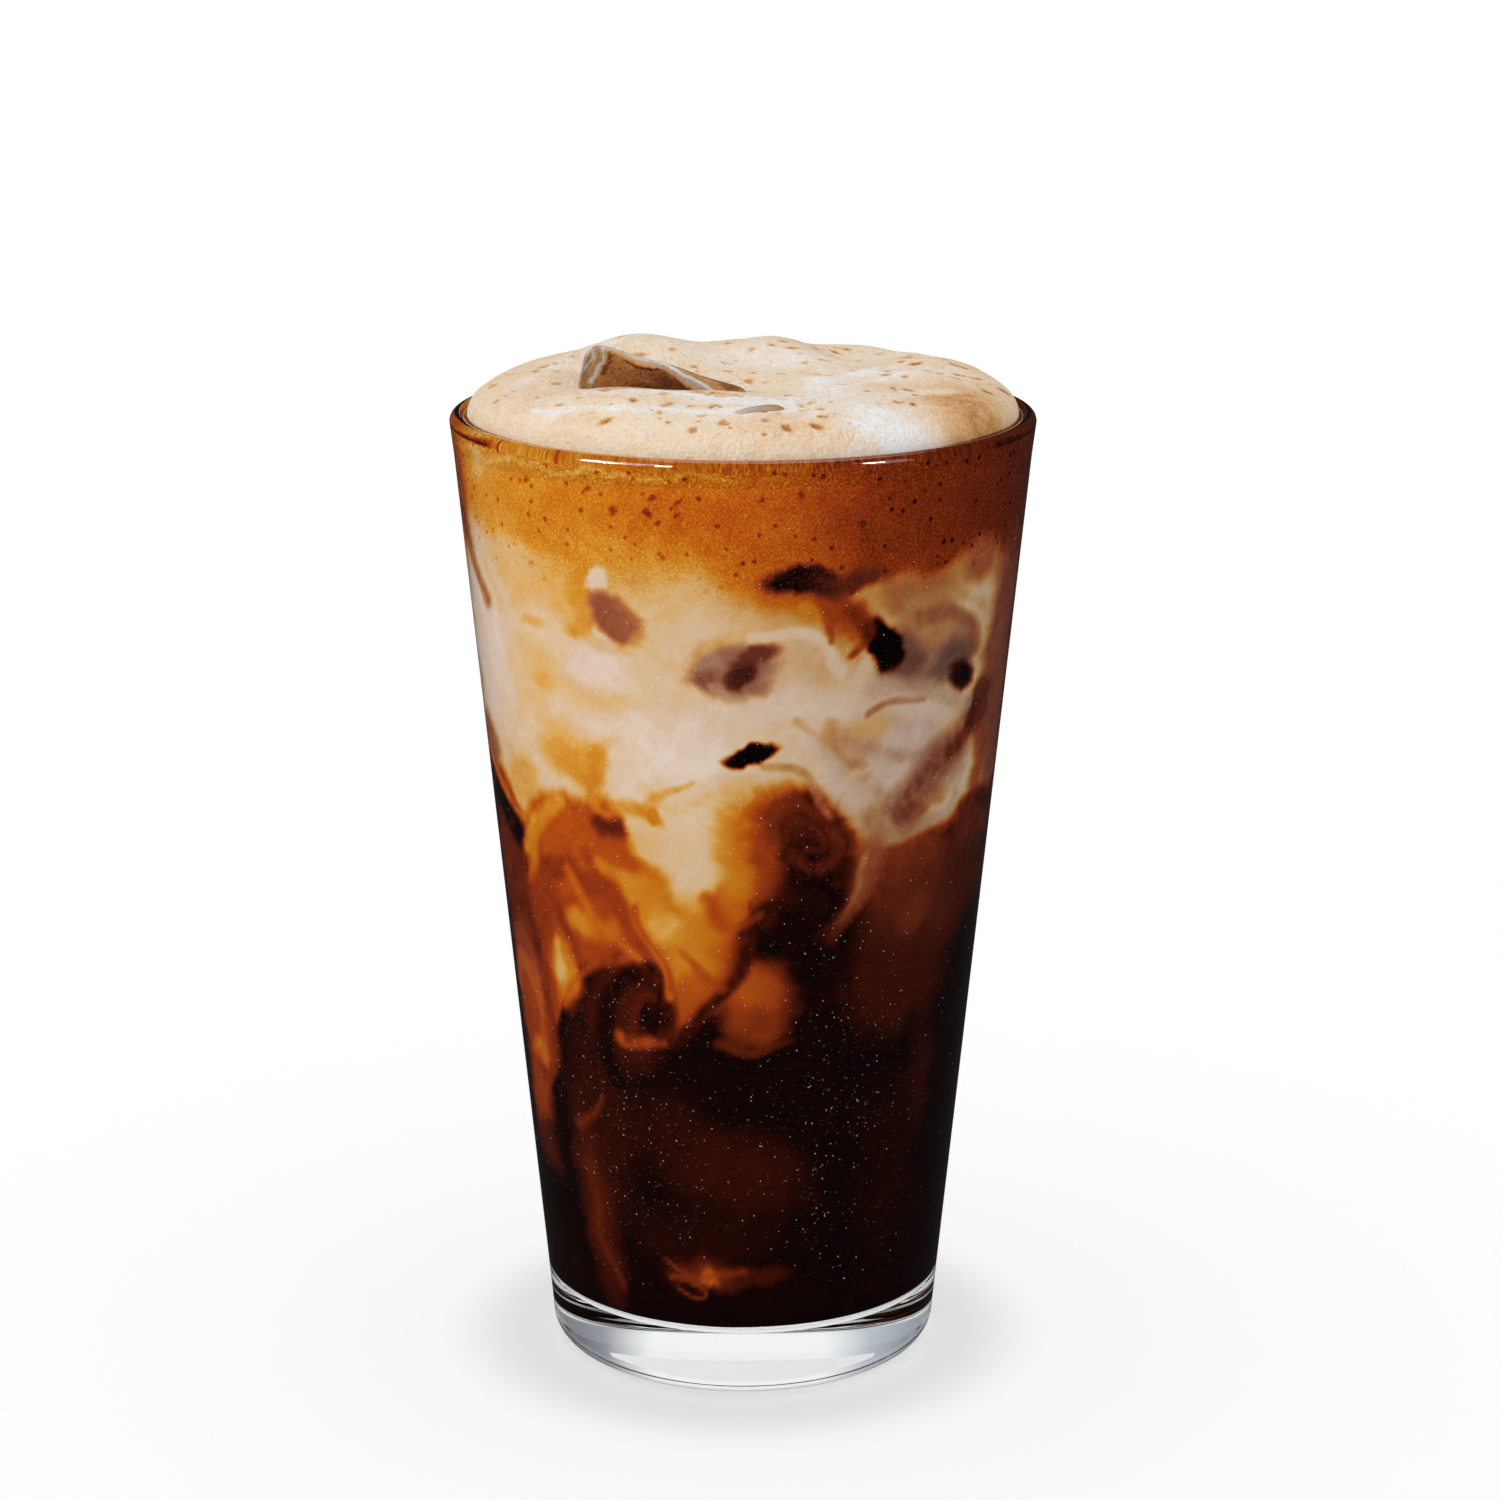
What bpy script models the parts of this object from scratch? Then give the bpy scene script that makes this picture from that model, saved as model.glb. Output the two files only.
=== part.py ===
"""Iced shaken espresso in a tall pint tumbler.

Metres, +Z up. The origin is the centre of the ring that the glass stands on.
From below: clear glass, dark espresso, a cloud of milk, golden crema and a
domed cap of froth, with two pieces of ice standing out of the froth.
"""
from math import atan2, cos, exp, pi, radians, sin

import bmesh
import bpy
from mathutils import Matrix

# The tumbler, a common 16 ounce mixing glass
GLASS_HEIGHT = 0.149
RIM_RADIUS = 0.04445
FOOT_RADIUS = 0.0303
HEEL_RADIUS = 0.0045
WALL = 0.0026
FLOOR_HEIGHT = 0.0103
FLOOR_CORNER = 0.0030
PUNT_RADIUS = 0.0235
PUNT_DEPTH = 0.001

# The drink's layers, at the wall
GAP = 0.0003
POCKET_GAP = 0.0004
MILK_BASE = 0.086
CREMA_BASE = 0.1295
FROTH_BASE = 0.1445
FROTH_EDGE = 0.1483

# The froth's dome: its rise, how square its shoulder is, how full it is and how far its middle sinks
FROTH_RISE = 0.0077
FROTH_SHOULDER = 4.86
FROTH_FULLNESS = 0.45
FROTH_DISH = 0.22
FROTH_RIPPLE = 0.00035

# Heaps and hollows of the froth: x, y, spread and rise
FROTH_HEAPS = (
    (-0.015, 0.013, 0.011, 0.0035),
    (0.006, 0.016, 0.009, 0.0026),
    (-0.016, -0.024, 0.009, 0.0013),
    (0.029, 0.010, 0.009, 0.0008),
    (0.004, -0.012, 0.007, -0.0012),
    (0.017, 0.018, 0.007, -0.0021),
)

# The ice that stands out of the froth: centre, size, turn about each axis in degrees,
# and how far the melt has rounded it
ICE_PIECES = {
    "ice_cube": ((-0.0131, -0.0106, 0.1501), (0.0250, 0.0190, 0.0150), (-12, 17, 3), 0.0024),
    "ice_corner": ((0.0016, -0.0310, 0.1495), (0.0115, 0.0100, 0.0095), (-32, -6, 30), 0.0022),
}
ICE_WAIST = 0.05
ICE_LOST_CORNER = 0.05

# Fineness of the turned pieces
GLASS_STEPS = 72
LAYER_STEPS = 56
FROTH_STEPS = 80
FROTH_RINGS = 22
SMOOTH_ANGLE = 50


def cleared_scene():
    """Removes what the file holds and returns one collection for the drink and one for its cutters."""
    for old in list(bpy.data.objects):
        bpy.data.objects.remove(old)
    made = []
    for name in ("iced_shaken_espresso", "cutters"):
        collection = bpy.data.collections.new(name)
        bpy.context.scene.collection.children.link(collection)
        made.append(collection)
    return made


def material(name, colour, roughness, transmission=0.0):
    """A Principled finish, clear where transmission is 1."""
    finish = bpy.data.materials.new(name)
    finish.use_nodes = True
    finish.diffuse_color = (*colour, 1.0)
    shader = finish.node_tree.nodes["Principled BSDF"]
    shader.inputs["Base Color"].default_value = (*colour, 1.0)
    shader.inputs["Roughness"].default_value = roughness
    shader.inputs["Metallic"].default_value = 0.0
    shader.inputs["Transmission Weight"].default_value = transmission
    return finish


def outer_radius(z):
    """The tumbler's straight outer side, from the heel up to the rim."""
    share = (z - HEEL_RADIUS) / (GLASS_HEIGHT - HEEL_RADIUS)
    return FOOT_RADIUS + (RIM_RADIUS - FOOT_RADIUS) * share


def bore_radius(z):
    """The inside of the tumbler at a height: a straight wall on a rounded floor corner."""
    straight = outer_radius(z) - WALL
    into_corner = max(0.0, FLOOR_HEIGHT + FLOOR_CORNER - z)
    return straight - FLOOR_CORNER + (FLOOR_CORNER**2 - min(into_corner, FLOOR_CORNER) ** 2) ** 0.5


def arc(centre_r, centre_z, radius, start, end, count):
    """Points of a profile along a round stretch, with the angles in degrees."""
    angles = [radians(start + (end - start) * k / (count - 1)) for k in range(count)]
    return [(centre_r + radius * cos(a), centre_z + radius * sin(a)) for a in angles]


def turned(name, profile, steps, collection):
    """A mesh object turned about Z from a profile that starts and ends on the axis."""
    mesh = bpy.data.meshes.new(name)
    points = [(r, 0.0, z) for r, z in profile]
    mesh.from_pydata(points, [(k, k + 1) for k in range(len(points) - 1)], [])
    blank = bpy.data.objects.new(name, mesh)
    collection.objects.link(blank)
    screw = blank.modifiers.new("turn", "SCREW")
    screw.steps = steps
    screw.render_steps = steps
    screw.use_merge_vertices = True
    screw.merge_threshold = 0.00002
    screw.use_normal_calculate = True
    bpy.context.view_layer.update()
    graph = bpy.context.evaluated_depsgraph_get()
    solid = bpy.data.meshes.new_from_object(blank.evaluated_get(graph))
    blank.modifiers.clear()
    blank.data = solid
    bpy.data.meshes.remove(mesh)
    solid.name = name
    return blank


def face_outwards(obj):
    """Welds the seam and the poles and turns every face outwards."""
    form = bmesh.new()
    form.from_mesh(obj.data)
    bmesh.ops.remove_doubles(form, verts=form.verts, dist=0.00001)
    bmesh.ops.recalc_face_normals(form, faces=form.faces)
    form.to_mesh(obj.data)
    form.free()


def smoothed(obj, angle):
    """Shades a piece smooth, but keeps edges sharper than the angle."""
    obj.data.shade_smooth()
    obj.data.set_sharp_from_angle(angle=radians(angle))


def make_glass(collection):
    """The tumbler: a heavy clear foot with a shallow punt, a rounded heel, a taper and a round rim."""
    lip = WALL / 2
    rim_centre = RIM_RADIUS - lip
    wall_top = GLASS_HEIGHT - lip
    floor_edge = outer_radius(FLOOR_HEIGHT + FLOOR_CORNER) - WALL - FLOOR_CORNER
    profile = [(PUNT_RADIUS * share, PUNT_DEPTH * (1.0 - share**2)) for share in (0.0, 0.35, 0.7, 1.0)]
    profile += arc(FOOT_RADIUS - HEEL_RADIUS, HEEL_RADIUS, HEEL_RADIUS, -90, 0, 6)
    profile += [(outer_radius(wall_top * k / 4), wall_top * k / 4) for k in (1, 2, 3)]
    profile += arc(rim_centre, wall_top, lip, 0, 180, 7)
    profile += [(bore_radius(wall_top * k / 4), wall_top * k / 4) for k in (3, 2, 1)]
    profile += arc(floor_edge, FLOOR_HEIGHT + FLOOR_CORNER, FLOOR_CORNER, 0, -90, 5)
    profile.append((0.0, FLOOR_HEIGHT))
    glass = turned("glass", profile, GLASS_STEPS, collection)
    face_outwards(glass)
    smoothed(glass, 40)
    glass.data.materials.append(material("clear_glass", (0.95, 0.97, 0.97), 0.02, 1.0))
    return glass


def milk_bed(angle, share):
    """Height of the milk's underside: three broad tongues sink into the coffee, deeper near the wall."""
    tongues = 0.0075 * sin(3 * angle + 0.6) + 0.0045 * sin(5 * angle - 1.1) + 0.0022 * sin(8 * angle + 0.4)
    return MILK_BASE + share**1.5 * tongues


def crema_bed(angle, share):
    """Height of the crema's underside, which hangs in shallow lobes."""
    lobes = 0.0022 * sin(2 * angle + 1.9) + 0.0016 * sin(5 * angle + 0.5)
    return CREMA_BASE + share * lobes


def froth_bed(angle, share):
    """Height of the line between the golden crema and the pale froth."""
    return FROTH_BASE + 0.0004 * share * sin(3 * angle)


def froth_top(x, y):
    """Height of the froth's skin: a pillow with a steep shoulder, broad heaps and hollows."""
    share = min(1.0, (x * x + y * y) ** 0.5 / (bore_radius(FROTH_EDGE) - GAP))
    pillow = (1.0 - share**FROTH_SHOULDER) ** FROTH_FULLNESS
    height = FROTH_EDGE + FROTH_RISE * pillow * (1.0 - FROTH_DISH * (1.0 - share**2))
    heaps = 0.0
    for hx, hy, spread, rise in FROTH_HEAPS:
        heaps += rise * exp(-((x - hx) ** 2 + (y - hy) ** 2) / spread**2)
    ripple = FROTH_RIPPLE * sin(x * 330 + 2.0 * sin(y * 150)) * cos(y * 260 + 1.3)
    return height + (heaps + ripple) * pillow


def layer(name, bed, roof, rings, wall_rows, steps, finish, collection):
    """One layer of the drink: a turned blank whose points are moved on to the given surfaces.

    In the blank, a point's height tells its row: 0 on the underside, 1 on the top, between them on the wall.
    """
    inner = [k / rings for k in range(rings + 1)]
    profile = [(share, 0.0) for share in inner]
    profile += [(1.0, row / wall_rows) for row in range(1, wall_rows)]
    profile += [(share, 1.0) for share in reversed(inner)]
    piece = turned(name, profile, steps, collection)
    for vertex in piece.data.vertices:
        x, y, row = vertex.co
        share = min(1.0, (x * x + y * y) ** 0.5)
        angle = atan2(y, x)
        low = bed(angle, share) + GAP / 2
        high = roof(angle, share) - GAP / 2
        z = low + (high - low) * row
        reach = (bore_radius(z) - GAP) * share
        vertex.co = (reach * cos(angle), reach * sin(angle), z)
    face_outwards(piece)
    smoothed(piece, SMOOTH_ANGLE)
    piece.data.materials.append(finish)
    return piece


def make_espresso(collection):
    """The dark coffee, whose lowest rows are set out along the tumbler's rounded floor corner."""
    top_share = 7
    corner_rows = 4
    wall_rows = 6
    corner = FLOOR_HEIGHT + FLOOR_CORNER
    floor_edge = outer_radius(corner) - WALL - FLOOR_CORNER
    profile = [(0.0, FLOOR_HEIGHT + GAP)]
    profile += arc(floor_edge, corner, FLOOR_CORNER - GAP, -90, 0, corner_rows + 1)
    start = profile[-1][1]
    for row in range(1, wall_rows + 1):
        z = start + (MILK_BASE - start) * row / wall_rows
        profile.append((bore_radius(z) - GAP, z))
    reach = profile[-1][0]
    profile += [(reach * (1.0 - k / top_share), MILK_BASE) for k in range(1, top_share + 1)]
    coffee = turned("espresso", profile, LAYER_STEPS, collection)
    for vertex in coffee.data.vertices:
        x, y, z = vertex.co
        angle = atan2(y, x)
        share = min(1.0, (x * x + y * y) ** 0.5 / (bore_radius(z) - GAP))
        lifted = max(0.0, (z - start) / (MILK_BASE - start))
        raised = z + lifted * (milk_bed(angle, share) - GAP / 2 - MILK_BASE)
        reach = (bore_radius(raised) - GAP) * share if lifted > 0 else (x * x + y * y) ** 0.5
        vertex.co = (reach * cos(angle), reach * sin(angle), raised)
    face_outwards(coffee)
    smoothed(coffee, SMOOTH_ANGLE)
    coffee.data.materials.append(material("espresso_coffee", (0.055, 0.014, 0.005), 0.15))
    return coffee


def make_froth(collection):
    """The pale cap: fine rings near the shoulder, where the dome turns down to meet the tumbler."""
    shares = [sin(pi / 2 * k / FROTH_RINGS) for k in range(FROTH_RINGS + 1)]
    under = [0.0, 0.35, 0.7, 1.0]
    profile = [(share, 0.0) for share in under]
    profile += [(share, 1.0) for share in reversed(shares)]
    cap = turned("froth", profile, FROTH_STEPS, collection)
    for vertex in cap.data.vertices:
        x, y, row = vertex.co
        share = min(1.0, (x * x + y * y) ** 0.5)
        angle = atan2(y, x)
        if row < 0.5:
            z = froth_bed(angle, share) + GAP / 2
            reach = (bore_radius(z) - GAP) * share
            vertex.co = (reach * cos(angle), reach * sin(angle), z)
        else:
            reach = (bore_radius(FROTH_EDGE) - GAP) * share
            px, py = reach * cos(angle), reach * sin(angle)
            vertex.co = (px, py, froth_top(px, py))
    face_outwards(cap)
    smoothed(cap, SMOOTH_ANGLE)
    cap.data.materials.append(material("pale_froth", (0.82, 0.62, 0.42), 0.6))
    return cap


def ice_block(name, size, rounding, collection):
    """A melted cube: rounded edges, a slight waist and one corner that has melted more than the others."""
    bpy.ops.mesh.primitive_cube_add(size=1.0)
    block = bpy.context.active_object
    block.name = name
    for owner in list(block.users_collection):
        owner.objects.unlink(block)
    collection.objects.link(block)
    block.data.transform(Matrix.Diagonal((*size, 1.0)))
    bevel = block.modifiers.new("melt", "BEVEL")
    bevel.width = rounding
    bevel.segments = 3
    bpy.context.view_layer.update()
    graph = bpy.context.evaluated_depsgraph_get()
    melted = bpy.data.meshes.new_from_object(block.evaluated_get(graph))
    block.modifiers.clear()
    block.data = melted
    for vertex in melted.vertices:
        x, y, z = (vertex.co[k] / size[k] * 2 for k in range(3))
        corner = max(0.0, x + y + z - 1.2)
        vertex.co *= 1.0 - ICE_WAIST * (1.0 - x * x) - ICE_LOST_CORNER * corner
    return block


def placed(obj, centre, turns):
    """Turns a piece about X, Y and Z and moves it to its place."""
    obj.rotation_euler = [radians(turn) for turn in turns]
    obj.location = centre
    return obj


def make_ice(froth, others, collection, cutters):
    """Both pieces of ice, and the pockets that they leave in the froth and the crema."""
    clear = material("clear_ice", (0.86, 0.87, 0.88), 0.06, 1.0)
    for name, (centre, size, turns, rounding) in ICE_PIECES.items():
        ice = placed(ice_block(name, size, rounding, collection), centre, turns)
        ice.data.materials.append(clear)
        smoothed(ice, SMOOTH_ANGLE)
        pocket = placed(ice_block(name + "_pocket", size, rounding, cutters), centre, turns)
        pocket.data.transform(Matrix.Diagonal([*(1.0 + 2 * POCKET_GAP / side for side in size), 1.0]))
        pocket.hide_render = True
        pocket.display_type = "WIRE"
        for body in (froth, *others):
            cut = body.modifiers.new("pocket_" + name, "BOOLEAN")
            cut.operation = "DIFFERENCE"
            cut.object = pocket


def main():
    drink, cutters = cleared_scene()
    make_glass(drink)
    make_espresso(drink)
    milk_finish = material("milk_cloud", (0.78, 0.56, 0.36), 0.3)
    crema_finish = material("golden_crema", (0.48, 0.20, 0.045), 0.4)
    layer("milk", milk_bed, crema_bed, 6, 4, LAYER_STEPS, milk_finish, drink)
    crema = layer("crema", crema_bed, froth_bed, 6, 3, LAYER_STEPS, crema_finish, drink)
    froth = make_froth(drink)
    make_ice(froth, (crema,), drink, cutters)


main()
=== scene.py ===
# %% [markdown]
# An iced shaken espresso in a clear pint tumbler, dressed step by step.
#
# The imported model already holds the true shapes: a tapered glass, three layers of drink, a cap of froth
# and two pieces of ice. This lesson gives each of them the surface of the real thing. Every new piece is
# a surface worked out with numpy and laid exactly where its solid is, in metres, with +Z up.

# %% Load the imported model
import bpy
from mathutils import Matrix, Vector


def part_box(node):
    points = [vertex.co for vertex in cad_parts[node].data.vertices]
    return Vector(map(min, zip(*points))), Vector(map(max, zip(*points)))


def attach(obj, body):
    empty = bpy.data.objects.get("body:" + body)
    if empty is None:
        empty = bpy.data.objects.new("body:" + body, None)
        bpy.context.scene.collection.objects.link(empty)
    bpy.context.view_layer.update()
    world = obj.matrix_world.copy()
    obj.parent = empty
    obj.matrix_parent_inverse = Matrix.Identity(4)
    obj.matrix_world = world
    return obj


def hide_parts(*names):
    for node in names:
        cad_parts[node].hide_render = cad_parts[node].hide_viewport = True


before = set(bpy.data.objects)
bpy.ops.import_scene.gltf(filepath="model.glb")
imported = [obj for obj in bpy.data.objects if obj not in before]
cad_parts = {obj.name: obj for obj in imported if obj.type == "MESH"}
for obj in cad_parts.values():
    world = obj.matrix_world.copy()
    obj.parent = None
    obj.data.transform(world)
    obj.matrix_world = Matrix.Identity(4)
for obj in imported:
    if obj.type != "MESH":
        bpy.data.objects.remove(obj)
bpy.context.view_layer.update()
print("nodes:", sorted(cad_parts))

# %% The modules that the lesson uses
from math import radians
import bpy
import numpy as np
MM = 0.001
print("Blender", bpy.app.version_string)

# %% [markdown]
# The camera stands where the drink was seen from: 60 cm away, 25 cm above the table and looking down a
# little. Making it first means that every later step can be judged through it. The glass stood slightly
# left of the middle of the picture, which a small sideways shift of the lens repeats.

# %% Camera
VIEW_SIZE = 1500
AXIS_COLUMN = 743
FOCAL_PIXELS = 4001
SENSOR = 36.0
eye = bpy.data.cameras.new("eye")
eye.sensor_width = SENSOR
eye.lens = FOCAL_PIXELS / VIEW_SIZE * SENSOR
eye.shift_x = (VIEW_SIZE / 2 - AXIS_COLUMN) / VIEW_SIZE
eye.clip_start = 0.01
camera = bpy.data.objects.new("camera", eye)
camera.location = (0.0, -0.600, 0.2528)
camera.rotation_euler = (radians(90 - 14.69), 0.0, 0.0)
bpy.context.scene.collection.objects.link(camera)
bpy.context.scene.camera = camera
print("lens", round(eye.lens, 2), "mm, shift", round(eye.shift_x, 5))

# %% [markdown]
# Everything in this drink is round, so one pair of measures shapes it all: how far the outside and the
# bore of the tumbler stand from the axis at a given height. The side is a straight taper. The bore runs
# parallel to it and turns into the floor along a rounded corner.

# %% The tumbler's own measures
_, glass_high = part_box("glass")
GLASS_HEIGHT = glass_high.z
RIM_RADIUS = glass_high.x
FOOT_RADIUS = 30.3 * MM
HEEL_RADIUS = 4.5 * MM
WALL = 2.6 * MM
FLOOR_HEIGHT = 10.3 * MM
FLOOR_CORNER = 3.0 * MM


def outer_radius(z):
    """A straight line from the heel to the rim."""
    return FOOT_RADIUS + (RIM_RADIUS - FOOT_RADIUS) * (z - HEEL_RADIUS) / (GLASS_HEIGHT - HEEL_RADIUS)


def bore_radius(z):
    """The outer line moved in by the wall, and near the floor a quarter circle that leads on to it."""
    into_corner = np.clip(FLOOR_HEIGHT + FLOOR_CORNER - z, 0.0, FLOOR_CORNER)
    return outer_radius(z) - WALL - FLOOR_CORNER + np.sqrt(FLOOR_CORNER**2 - into_corner**2)


print("bore at the drink's floor and at the rim, mm:",
      np.round(bore_radius(np.array([0.018, 0.147])) / MM, 2))

# %% [markdown]
# A surface here is a grid of points: rows go from the bottom of a piece to its top and columns go round
# it. Joining each point to its neighbours gives four-sided faces. Where a grid starts or ends on the
# axis, its whole row would be one point, so a single pole with a fan of triangles closes it instead.

# %% From grids of points to closed meshes


def grid_faces(rows, columns):
    """The corners of every face of a closed grid: a point, its neighbour, and the two above them."""
    row = np.arange(rows - 1)[:, None] * columns
    column = np.arange(columns)[None, :]
    after = (column + 1) % columns
    corners = (row + column, row + after, row + columns + after, row + columns + column)
    return np.stack(np.broadcast_arrays(*corners), axis=-1).reshape(-1, 4)


def mesh_piece(name, points, quads, triangles):
    """One smooth mesh object at the origin, from points, four-sided faces and three-sided faces."""
    mesh = bpy.data.meshes.new(name)
    mesh.vertices.add(len(points))
    mesh.vertices.foreach_set("co", points.astype(np.float32).ravel())
    corners = np.concatenate([quads.ravel(), triangles.ravel()]).astype(np.int32)
    sizes = np.concatenate([np.full(len(quads), 4), np.full(len(triangles), 3)])
    mesh.loops.add(len(corners))
    mesh.loops.foreach_set("vertex_index", corners)
    mesh.polygons.add(len(sizes))
    mesh.polygons.foreach_set("loop_start", (np.cumsum(sizes) - sizes).astype(np.int32))
    mesh.update(calc_edges=True)
    mesh.shade_smooth()
    piece = bpy.data.objects.new(name, mesh)
    bpy.context.scene.collection.objects.link(piece)
    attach(piece, "root")
    print(name, "has", len(points), "points and", len(quads) * 2 + len(triangles), "triangles")
    return piece


def around(rows_r, rows_z, angles):
    """Points of a turned grid: each row's radius and height, carried round the axis by the angles."""
    across = np.broadcast_to(rows_r, (len(rows_r), len(angles)))
    height = np.broadcast_to(rows_z, (len(rows_z), len(angles)))
    return np.stack([across * np.cos(angles), across * np.sin(angles), height], axis=-1)


def closed_piece(name, grid, low_pole, high_pole):
    """A grid that goes round the axis, closed below and above by a fan to a pole."""
    rows, columns = grid.shape[:2]
    points = np.concatenate([grid.reshape(-1, 3), [low_pole, high_pole]])
    column = np.arange(columns)
    after = (column + 1) % columns
    low_fan = np.stack([np.full(columns, rows * columns), after, column], axis=-1)
    last = (rows - 1) * columns
    high_fan = np.stack([np.full(columns, rows * columns + 1), last + column, last + after], axis=-1)
    return mesh_piece(name, points, grid_faces(rows, columns), np.concatenate([low_fan, high_fan]))


def arc(centre_r, centre_z, radius, start, end, count):
    """Points along part of a circle in the profile, with angles in degrees from the outward direction."""
    turn = np.radians(np.linspace(start, end, count))
    return np.stack([centre_r + radius * np.cos(turn), centre_z + radius * np.sin(turn)], axis=-1)


print("a closed grid of 3 rows and 8 columns has", len(grid_faces(3, 8)), "faces")

# %% [markdown]
# A finish is a node tree round one Principled shader. A few small helpers keep the recipes short. One
# makes the shader with its constant values straight on its sockets, and one adds a node with its
# settings. The others make what every finish here needs: ramps of colour, noise, cells, a value shifted
# by a pattern, and bumps. Colours are written as they look on a screen, from 0 to 255, and made linear.

# %% Finishes, and colours as the eye reads them


def linear(colour):
    """Screen values made linear: the straight part below 4 percent, and a power of 2.4 above it."""
    share = np.asarray(colour, float) / 255.0
    return np.where(share <= 0.04045, share / 12.92, ((share + 0.055) / 1.055) ** 2.4)


def finish(name, **constants):
    """A new material with a Principled shader, whose constant values are set on its own sockets."""
    made = bpy.data.materials.new(name)
    made.use_nodes = True
    shader = made.node_tree.nodes["Principled BSDF"]
    for socket, value in constants.items():
        shader.inputs[socket.replace("_", " ")].default_value = value
    return made, made.node_tree, shader


def add_node(tree, kind, settings=None, inputs=None):
    """A node of that kind with its settings, and its inputs either linked or set to a value."""
    made = tree.nodes.new(kind)
    for setting, value in (settings or {}).items():
        setattr(made, setting, value)
    for socket, value in (inputs or {}).items():
        if isinstance(value, bpy.types.NodeSocket):
            tree.links.new(value, made.inputs[socket])
        else:
            made.inputs[socket].default_value = value
    return made


def ramp(tree, factor, stops):
    """A colour ramp through (place, colour) stops, read at the factor."""
    made = add_node(tree, "ShaderNodeValToRGB", inputs={"Fac": factor})
    bar = made.color_ramp.elements
    while len(bar) < len(stops):
        bar.new(1.0)
    for stop, (place, colour) in zip(bar, stops):
        stop.position = place
        stop.color = (*linear(colour), 1.0)
    return made.outputs["Color"]


print("a screen grey of 128 gives back", round(float(linear(128)) * 100), "percent of the light")

# %% Patterns and values for the finishes


def attribute(tree, name):
    """A value that was worked out for every point of the piece."""
    return add_node(tree, "ShaderNodeAttribute", {"attribute_name": name}).outputs["Fac"]


def maths(tree, operation, first, second, clamp=False):
    """One sum, product or comparison of two values."""
    settings = {"operation": operation, "use_clamp": clamp}
    return add_node(tree, "ShaderNodeMath", settings, {0: first, 1: second}).outputs["Value"]


def own_place(tree):
    """Object coordinates, which stay with the piece wherever it goes."""
    return add_node(tree, "ShaderNodeTexCoord").outputs["Object"]


def noise(tree, place, scale, detail=2.0, **others):
    """Soft random clouds from 0 to 1, about as many to the metre as the scale says."""
    inputs = {"Vector": place, "Scale": scale, "Detail": detail, **others}
    return add_node(tree, "ShaderNodeTexNoise", inputs=inputs).outputs["Fac"]


def cell_distance(tree, place, scale):
    """How far the nearest of many scattered points is, against the cells' size: 0 in a cell's middle."""
    inputs = {"Vector": place, "Scale": scale}
    return add_node(tree, "ShaderNodeTexVoronoi", inputs=inputs).outputs["Distance"]


def shifted(tree, value, pattern, middle, amount, clamp=False):
    """The value plus a pattern, which is measured from its middle and scaled to an amount."""
    swing = maths(tree, "MULTIPLY", maths(tree, "SUBTRACT", pattern, middle), amount)
    return maths(tree, "ADD", value, swing, clamp)


def blended(tree, factor, first, second):
    """The first colour where the factor is 0, and the second where it is 1."""
    inputs = {"Factor": factor, "A": first, "B": second}
    return add_node(tree, "ShaderNodeMix", {"data_type": "RGBA"}, inputs).outputs["Result"]


def add_bumps(tree, shader, relief, strength, distance):
    """Tilts the shading as a relief would, whose full height is the distance in metres."""
    inputs = {"Height": relief, "Strength": strength, "Distance": distance}
    bump = add_node(tree, "ShaderNodeBump", inputs=inputs)
    tree.links.new(bump.outputs["Normal"], shader.inputs["Normal"])


def give_values(piece, name, values):
    """Stores one number for each point of the piece, for its finish to read."""
    layer = piece.data.attributes.new(name, "FLOAT", "POINT")
    layer.data.foreach_set("value", np.asarray(values, np.float32).ravel())


def points_of(piece):
    """The x, y and z of all the piece's points, as three arrays."""
    co = np.empty(len(piece.data.vertices) * 3, np.float32)
    piece.data.vertices.foreach_get("co", co)
    return co.reshape(-1, 3).astype(float).T


solids = [piece for piece in bpy.context.scene.objects if piece.type == "MESH"]
print("points in the packed solids:", {piece.name: points_of(piece).shape[1] for piece in solids})

# %% [markdown]
# The tumbler is a turned piece: a profile carried round the axis. The solid has 72 sides, which would
# show as facets in something this clear, so the profile is turned again with 256. The glass casts no
# shadow rays, because light goes through it to the drink, and tracing that would only add speckle.

# %% Tumbler
GLASS_COLUMNS = 256
PUNT_RADIUS = 23.5 * MM
PUNT_DEPTH = 1.0 * MM


def tumbler_profile():
    """From the middle of the foot outwards: punt, ring, heel, side, rim, bore, corner and floor."""
    lip = WALL / 2
    wall_top = GLASS_HEIGHT - lip
    corner = FLOOR_HEIGHT + FLOOR_CORNER
    floor_edge = outer_radius(corner) - WALL - FLOOR_CORNER
    side = np.linspace(HEEL_RADIUS, wall_top, 30)[1:-1]
    bore = np.linspace(wall_top, corner, 30)[1:-1]
    floor = floor_edge * np.linspace(1.0, 0.05, 8)[1:]
    punt = np.linspace(0.05, 1.0, 10)
    return np.concatenate([
        np.stack([PUNT_RADIUS * punt, PUNT_DEPTH * (1.0 - punt**2)], axis=-1),
        arc(FOOT_RADIUS - HEEL_RADIUS, HEEL_RADIUS, HEEL_RADIUS, -90, 0, 14),
        np.stack([outer_radius(side), side], axis=-1),
        arc(RIM_RADIUS - lip, wall_top, lip, 0, 180, 17),
        np.stack([outer_radius(bore) - WALL, bore], axis=-1),
        arc(floor_edge, corner, FLOOR_CORNER, 0, -90, 12),
        np.stack([floor, np.full_like(floor, FLOOR_HEIGHT)], axis=-1),
    ])


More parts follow.
